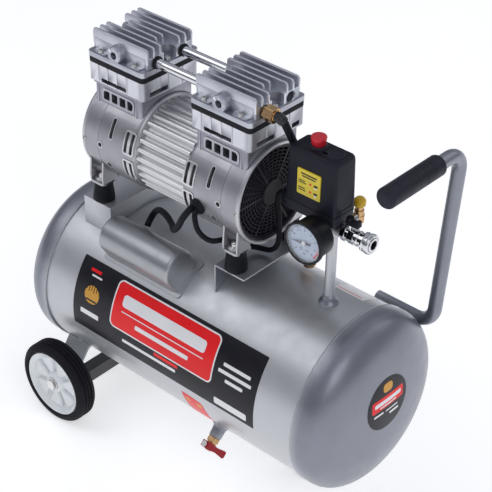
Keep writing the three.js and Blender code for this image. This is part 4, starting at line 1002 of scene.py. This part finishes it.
def build_gauge():
    x, z = 179.6, 244.0
    case = [(-27.8, 0), (-27.8, 22), (-29, 24.6), (-31, 25.8), (-52.6, 26.2), (-53.2, 28.2), (-54, 29.0),
            (-59, 29.0), (-60, 28.2), (-60, 26.6), (-58.6, 25.6), (-54.6, 25.4), (-54.6, 0)]
    piece("gauge_body", lathe(case, "y", (x, z), 96), "plastic", stands_for="gauge_case")
    piece("gauge_dial", rod("y", -55.3, -54.2, 25.5, (x, z), 64), "dial", slot="gauge_case")
    ticks, red = [], []
    for k in range(41):
        long = k % 5 == 0
        turn = math.radians(225 - 270 * k / 40)
        length, half = (4.2, 0.34) if long else (2.4, 0.18)
        tick = block((24.0 - length, -55.65, -half), (24.0, -55.2, half))
        place = Matrix.Translation((x, 0, z)) @ Matrix.Rotation(-turn, 4, "Y")
        (red if k > 34 else ticks).append(moved(tick, place))
    for k in range(9):
        turn = math.radians(225 - 270 * k / 8)
        centre = (x + 17.2 * math.cos(turn), z + 17.2 * math.sin(turn))
        ticks.append(prism(round_outline(2.2, 1.3, 0.4, 3, centre), -55.6, -55.2, "y"))
    for dx, dz, r in ((-4.6, -10.5, 2.0), (4.6, -10.5, 2.0), (0, -16.0, 1.4)):
        circle = [(-55.6, r - 0.4), (-55.6, r), (-55.2, r), (-55.2, r - 0.4)]
        ticks.append(lathe(circle, "y", (x + dx, z + dz), 24))
    turns = [math.radians(-18 - 27 * k / 12) for k in range(13)]
    outline = [(x + 22.4 * math.cos(t), z + 22.4 * math.sin(t)) for t in turns]
    outline += [(x + 20.6 * math.cos(t), z + 20.6 * math.sin(t)) for t in turns[::-1]]
    red.append(prism(outline, -55.6, -55.2, "y"))
    piece("gauge_ticks", merged(*ticks), "ink", slot="gauge_case")
    piece("gauge_red_marks", merged(*red), "decal_red", slot="gauge_case")
    pointer = [(-19.5, 0), (-4, 1.5), (4, 1.7), (11, 1.1), (11, -1.1), (4, -1.7), (-4, -1.5)]
    tilt = math.radians(8)
    pointer = [(x + u * math.cos(tilt) - v * math.sin(tilt), z + u * math.sin(tilt) + v * math.cos(tilt))
               for u, v in pointer]
    piece("gauge_pointer", prism(pointer, -57.2, -56.6, "y"), "ink", body="needle", stands_for="gauge_needle")
    cap = lathe([(-56.2, 0), (-56.2, 2.6), (-57.6, 2.6), (-58.2, 1.8), (-58.2, 0)], "y", (x, z), 32)
    piece("gauge_pointer_cap", cap, "white", body="needle", slot="gauge_needle")
    lens = [(-58.5, 0), (-58.5, 25.7), (-59.0, 25.7), (-59.6, 12), (-59.7, 0)]
    piece("gauge_glass", lathe(lens, "y", (x, z), 64), "lens", slot="gauge_case")


def build_outlet():
    z = 241.5
    valve_x, valve_y = 187.6, 41
    riser = [(128, 4.5), (128, 7), (229.2, 7), (229.2, 4.5)]
    piece("riser", lathe(riser, "z", (179.6, 0), 64), "paint", stands_for="riser_pipe")
    body = merged(rod("x", 147, 196.3, 8.8, (0, z), 40), hexagon("z", 229.5, 243, 11, (179.6, 0)),
                  hexagon("z", 241, 250.7, 8, (156, 0)), rod("y", -27.5, 0, 7, (179.6, 243), 32),
                  hexagon("y", -27.4, -19, 9, (179.6, 243)), rod("y", 0, 33, 7, (187.6, z), 32))
    piece("manifold_body", body, "steel", stands_for="manifold", bevel=0.6)
    valve = merged(
        hexagon("x", 196.6, 203.5, 11.5, (0, z)),
        rod("x", 203, 208, 9.6, (0, z), 40),
        hexagon("x", 207.5, 216.5, 11.0, (0, z)),
        rod("z", z, z + 14.5, 4, (205.45, 0), 24),
        lathe([(216, 0), (216, 9.2), (219.5, 9.2), (220, 10.2), (222.4, 10.2), (223, 9.4), (243, 9.4),
               (243, 6.2), (226, 6.2), (226, 0)], "x", (0, z), 56))
    piece("outlet_body", valve, "chrome", stands_for="outlet_valve", bevel=0.45)
    throat = [(225.6, 0), (225.6, 6.1), (242.2, 6.1), (242.2, 5.0), (227, 5.0), (227, 0)]
    piece("coupler_throat", lathe(throat, "x", (0, z), 40), "rubber", slot="outlet_valve")
    sleeve = lathe([(228.6, 9.7), (228.6, 11.6), (229.4, 12.6), (231.5, 12.8), (232.4, 11.7), (234.4, 11.5),
                    (235.6, 12.6), (236.4, 13.4), (239.6, 13.4), (240.8, 12.8), (241.6, 11.6), (241.6, 9.7)],
                   "x", (0, z), 64)
    piece("sleeve_ring", sleeve, "chrome", body="sleeve", stands_for="coupler_sleeve")
    handle = [(200.9, -5), (206, -5.4), (220.4, -4.2), (220.4, 4.2), (206, 5.4), (200.9, 5)]
    lever = merged(prism(handle, 256.3, 262.0), rod("z", 256.3, 266, 5.0, (205.45, 0), 24),
                   prism(round_outline(5, 8, 1.5, 4, (218.2, 0)), 258, 265.4))
    piece("outlet_handle", lever, "plastic", body="valve_lever", stands_for="outlet_lever", bevel=0.8)
    relief = merged(hexagon("z", 232.5, 242.5, 8, (valve_x, valve_y)),
                    rod("z", 242, 250, 6.4, (valve_x, valve_y), 32),
                    rod("z", 249, 256, 5.2, (valve_x, valve_y), 32))
    piece("relief_valve", relief, "brass", stands_for="safety_valve", bevel=0.5)
    cap = lathe([(256.3, 0), (256.3, 7.6), (257.2, 8), (262.5, 8), (264.6, 7.2), (266.8, 5.2), (268, 2.6),
                 (268, 0)], "z", (valve_x, valve_y), 40)
    piece("relief_cap_top", cap, "yellow", body="relief_cap", stands_for="safety_cap")


build_switch()
build_gauge()
build_outlet()


# ---------------------------------------------------------------- handle, brackets and cover
def build_handle():
    y, z = 122.9, 61.0
    along, up = Vector((1, 0, 0)), Vector((16.5, 0, 276)).normalized()
    forward = Vector((0, -1, 0))

    def bend(corner, a, b, radius):
        corner = Vector(corner)
        centre = corner - a * radius + b * radius
        return [centre - b * (radius * math.cos(math.radians(t))) + a * (radius * math.sin(math.radians(t)))
                for t in range(0, 91, 6)]

    top = Vector((275.5, y, 337))
    path = [Vector((168, y, z)), Vector((190, y, z)), Vector((215, y, z))]
    path += bend((259, y, z), along, up, 27)
    path += bend(top, up, forward, 30)
    path += [top + forward * 60, top + forward * 150]
    tube = sweep(path, 9.45, 40)
    piece("handle_bar", tube, "paint", stands_for="handle_tube", sharp=60)
    length, grip_r, mouth_r, groove, pitch = 106.8, 13.8, 12.6, 0.35, 15.6
    grip = [(0, 10.0), (0, mouth_r)]
    for k in range(1, 100):
        u = length * k / 100
        r = grip_r - groove if abs((u % pitch) - pitch / 2) < 0.7 else grip_r
        if u < 1.5:
            r = mouth_r + u * 0.8
        if u > length - 6:
            r = grip_r * math.sqrt(max(0.0, 1 - ((u - length + 6) / 6.6) ** 2)) * 0.995
        grip.append((u, r))
    grip += [(length, 5.0), (length + 0.1, 0), (length - 5, 0), (length - 5, 10.0)]
    shape = lathe(grip, "z", sides=64)
    start = top + forward * (y - 73)
    turn = Vector((0, 0, 1)).rotation_difference(forward).to_matrix().to_4x4()
    piece("handle_sleeve", moved(shape, Matrix.Translation(start) @ turn), "grip", stands_for="handle_grip",
          sharp=60)
    welds = []
    for side in (-1, 1):
        run = [(x, y + side * 2.0 - 6.6, z + side * 7.2 - 1.0) for x in range(172, 230, 2)]
        welds.append(weld_bead(run, 1.7, 8, 4.0))
    piece("handle_welds", merged(*welds), "paint", slot="tank_shell", sharp=80)


def sheet_channel(x, closed_front):
    """A bent sheet channel over the tank, open at the back; the closed one has a front and a right wall."""
    half, top, sheet = 26.0, 150.2, 2.5
    outer = block((x - half, -66, 96), (x + half, 66, top))
    front = -66 + sheet if closed_front else -68
    right = x + half - sheet if closed_front else x + half + 2
    inner = block((x - half + sheet, front, 90), (right, 68, top - sheet))
    return outer, merged(inner, tank_space(0.25))


def build_brackets():
    for name, x, closed in (("left", -176.5, True), ("right", 67.0, False)):
        outer, cutter = sheet_channel(x, closed)
        piece(f"bracket_{name}", outer, "paint", stands_for=f"motor_bracket_{name}", cutters=cutter,
              bevel=1.4, segments=3)
    for side, x in (("left", -176.5), ("right", 67.0)):
        for place, y in (("front", -52.4), ("rear", 52.4)):
            mount = lathe([(150.5, 0), (150.5, 14.4), (151.2, 15), (156, 15), (160, 14.6), (174, 12.9),
                           (176.8, 12.5), (178, 11.6), (178, 0)], "z", (x, y), 48)
            piece(f"mount_{side}_{place}", mount, "rubber", stands_for=f"rubber_mount_{side}_{place}")


def build_cover():
    """The capacitor cover: an arch of sheet with rounded ends on a thin rim, tilted to the tank's side."""
    x0, x1, half, wall = -137.0, -8.0, 26.5, 24.0
    tilt, origin = 32.3, (0, -65.0, 103.8)

    def section(x, shrink, bottom):
        r = half - shrink
        outline = [(x, -r, bottom)]
        for k in range(25):
            turn = math.pi * k / 24
            outline.append((x, -r * math.cos(turn), wall + r * math.sin(turn)))
        outline.append((x, r, bottom))
        return outline

    round_end, steps = 5.0, 6

    def end_section(end, way, k):
        turn = math.radians(18 * k)
        return section(end + way * round_end * (1 - math.cos(turn)), round_end * (1 - math.sin(turn)), -10)

    layers = [end_section(x0, 1, k) for k in range(steps)]
    layers += [end_section(x1, -1, k) for k in reversed(range(steps))]
    place = Matrix.Translation(origin) @ Matrix.Rotation(math.radians(tilt), 4, "X")
    hollow = moved(layered([section(x0 + 2, 2, -14), section(x1 - 2, 2, -14)]), place)
    hole = moved(rod("y", 10, 40, 5.2, (-101, 22), 24), place)
    piece("capacitor_hood", moved(layered(layers), place), "cover_paint", stands_for="capacitor_cover",
          cutters=merged(hollow, hole, tank_space(0.3)), sharp=34)
    angle = math.degrees(math.atan2(origin[2], -origin[1]))
    rows = patch_rows(x0 - 5, x1 + 9, angle - 14.4, angle + 14.4, 7.0, TANK_R, 2.0)
    rim = wrapped(rows, TANK_R + 0.15, TANK_R + 2.2)
    hollow_rows = patch_rows(x0 + 2, x1 - 2, angle - 11, angle + 11, 2.0, TANK_R, 2.0)
    piece("capacitor_rim", rim, "cover_paint", slot="capacitor_cover", bevel=0.5,
          cutters=wrapped(hollow_rows, TANK_R - 3, TANK_R + 6))


build_handle()
build_brackets()
build_cover()


# ---------------------------------------------------------------- wheels, legs and foot
WHEEL_X, WHEEL_Z = -185.5, -119.5


def on_side(shape, name):
    """The front one as it is drawn, the rear one as its mirror."""
    return mirrored(shape) if name == "rear" else shape


def petal(angle, half_angle, r0, r1, y0, y1):
    """A raised wedge of the hub, wide at its outer edge."""
    outline = []
    for r, shares in ((r1, (-1, -0.5, 0, 0.5, 1)), (r0, (0.62, -0.62))):
        for share in shares:
            turn = math.radians(angle + half_angle * share)
            outline.append((r * math.cos(turn), r * math.sin(turn)))
    return prism(outline, y0, y1, "y")


def build_wheel(name):
    def placed(shape):
        return shifted(on_side(shape, name), WHEEL_X, 0, WHEEL_Z)

    out, width, radius, rim = -163.0, 32.0, 62.5, 50.0
    tread = [(out + 4, rim), (out + 0.6, rim + 1.0), (out, rim + 3.0), (out + 0.3, radius - 8),
             (out + 2.2, radius - 3.2), (out + 5, radius - 0.8), (out + 7.4, radius - 0.1)]
    for k in range(3):
        start = out + 9.6 + 5.4 * k
        tread += [(start - 1.2, radius), (start, radius - 1.7), (start + 1.2, radius - 1.7),
                  (start + 2.4, radius)]
    back = out + width
    tread += [(back - 6, radius - 0.3), (back - 2.4, radius - 3), (back - 0.4, radius - 8), (back, rim + 4),
              (back - 2, rim)]
    piece(f"wheel_tyre_{name}", placed(lathe(tread, "y", sides=128)), "tyre", body=f"wheel_{name}",
          stands_for=f"tyre_{name}", sharp=50)

    face = -160.0
    dish = [(-0.6, 49.7), (-1.4, 48.8), (-1.2, 47.6), (1.4, 45.8), (6.0, 42.5), (9.5, 38.5), (10.0, 17.5),
            (6.5, 15.8), (1.4, 14.2), (0.4, 13.0), (0.2, 6.6), (27, 6.6), (27, 15), (17, 16), (15, 40),
            (25, 46), (27, 49.7)]
    disc = lathe([(face + inward, r) for inward, r in dish], "y", sides=96)
    piece(f"wheel_disc_{name}", placed(disc), "white", body=f"wheel_{name}",
          stands_for=f"wheel_hub_{name}", sharp=40)
    petals = 7
    wedges = [petal(360 * k / petals + 12, 18.5, 15.0, 41.6, face + 4.6, face + 11.0) for k in range(petals)]
    piece(f"wheel_petals_{name}", placed(merged(*wedges)), "white", body=f"wheel_{name}",
          slot=f"wheel_hub_{name}", bevel=2.2, segments=4, sharp=30)


def build_legs():
    out, inn = -125.5, -122.5
    weld_y, weld_z = -96.8, -81.4
    outline = [(out, -152), (out, -118), (out + 0.4, -116.4), (out + 29.4, -76), (inn + 30.4, -77),
               (inn + 0.4, -117.8), (inn, -119.5), (inn, -149), (inn + 12, -149), (inn + 12, -152)]
    place = (WHEEL_X, WHEEL_Z)
    spindle = merged(rod("y", -161, -124, 6.0, place, 32), rod("y", -130, -124, 9, place, 32))
    washer = [(-160.2, 0), (-160.2, 10.4), (-161.2, 10.6), (-161.8, 10.0), (-161.8, 0)]
    bolt = merged(lathe(washer, "y", place, 40), hexagon("y", -165.0, -161.0, 8.6, place))
    welds = [weld_bead([(x0 + k, weld_y, weld_z) for k in range(0, 20, 2)], 2.0, 8, 4.2)
             for x0 in (-215, -190)]
    for name in ("front", "rear"):
        piece(f"leg_{name}", on_side(prism(outline, -215, -173, "x"), name), "paint",
              stands_for=f"wheel_leg_{name}", cutters=tank_space(0.25), bevel=1.0, segments=2)
        piece(f"axle_{name}", on_side(spindle, name), "zinc", slot=f"wheel_leg_{name}")
        piece(f"axle_bolt_{name}", on_side(bolt, name), "zinc", slot=f"wheel_leg_{name}", bevel=0.8,
              segments=3)
        piece(f"leg_welds_{name}", on_side(merged(*welds), name), "paint", slot="tank_shell", sharp=80)


def build_foot():
    foot = [(-182, 0), (-182, 9.6), (-181.2, 10.8), (-179, 12), (-170, 12), (-166.4, 11.4), (-165, 10.2),
            (-165, 0)]
    piece("foot_rubber", lathe(foot, "z", (150, 0), 48), "rubber", stands_for="front_rubber_foot")


def build_drain():
    place = Matrix.Translation((76, 0, 0)) @ Matrix.Rotation(math.radians(135), 4, "X")
    cock = merged(hexagon("z", 143.4, 150.6, 9.4), rod("z", 150, 152.4, 6.2, sides=32),
                  rod("z", 152, 161.6, 7.2, sides=40), rod("z", 161, 163, 5.2, sides=32),
                  rod("y", 0, 11.4, 4.5, (0, 156), 32))
    piece("drain_cock", moved(cock, place), "brass", stands_for="drain_valve", bevel=0.7)
    nut = lathe([(152.6, 7.3), (152.6, 8.6), (160.8, 8.6), (160.8, 7.3)], "z", sides=6)
    piece("drain_nut", moved(nut, place), "zinc", slot="drain_valve", bevel=0.6)
    grip = [(-6, 151.4), (6, 150.8), (20, 152.2), (33, 150.6), (35, 152), (35, 160), (33, 161.4), (20, 159.8),
            (6, 161.2), (-6, 160.6)]
    piece("drain_grip", moved(prism(grip, 11.8, 14.4, "y"), place), "lever_red", body="drain_handle",
          stands_for="drain_lever", bevel=0.9, segments=3)
    nut = hexagon("y", 14.4, 17.4, 4.6, (0, 156))
    piece("drain_grip_nut", moved(nut, place), "zinc", body="drain_handle", slot="drain_valve", bevel=0.4)


for wheel_name in ("front", "rear"):
    build_wheel(wheel_name)
build_legs()
build_foot()
build_drain()


# ---------------------------------------------------------------- frame pieces that keep their own shape
KEPT = {
    "cross_tube": ("black_metal", 1.2), "capacitor": ("plastic", 1.5), "crankshaft": ("steel", 0.5),
    "fan_left": ("plastic", 0.5), "fan_right": ("plastic", 0.5), "stator_core": ("copper", 0.8),
    "piston_rod_left": ("steel", 0.4), "piston_rod_right": ("steel", 0.4),
}
for node, (look, width) in KEPT.items():
    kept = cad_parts[node]
    kept.data.materials.clear()
    kept.data.materials.append(FINISH[look])
    edges = kept.modifiers.new("edges", "BEVEL")
    edges.width, edges.segments = width * MM, 2
    edges.limit_method, edges.angle_limit = "ANGLE", math.radians(40)
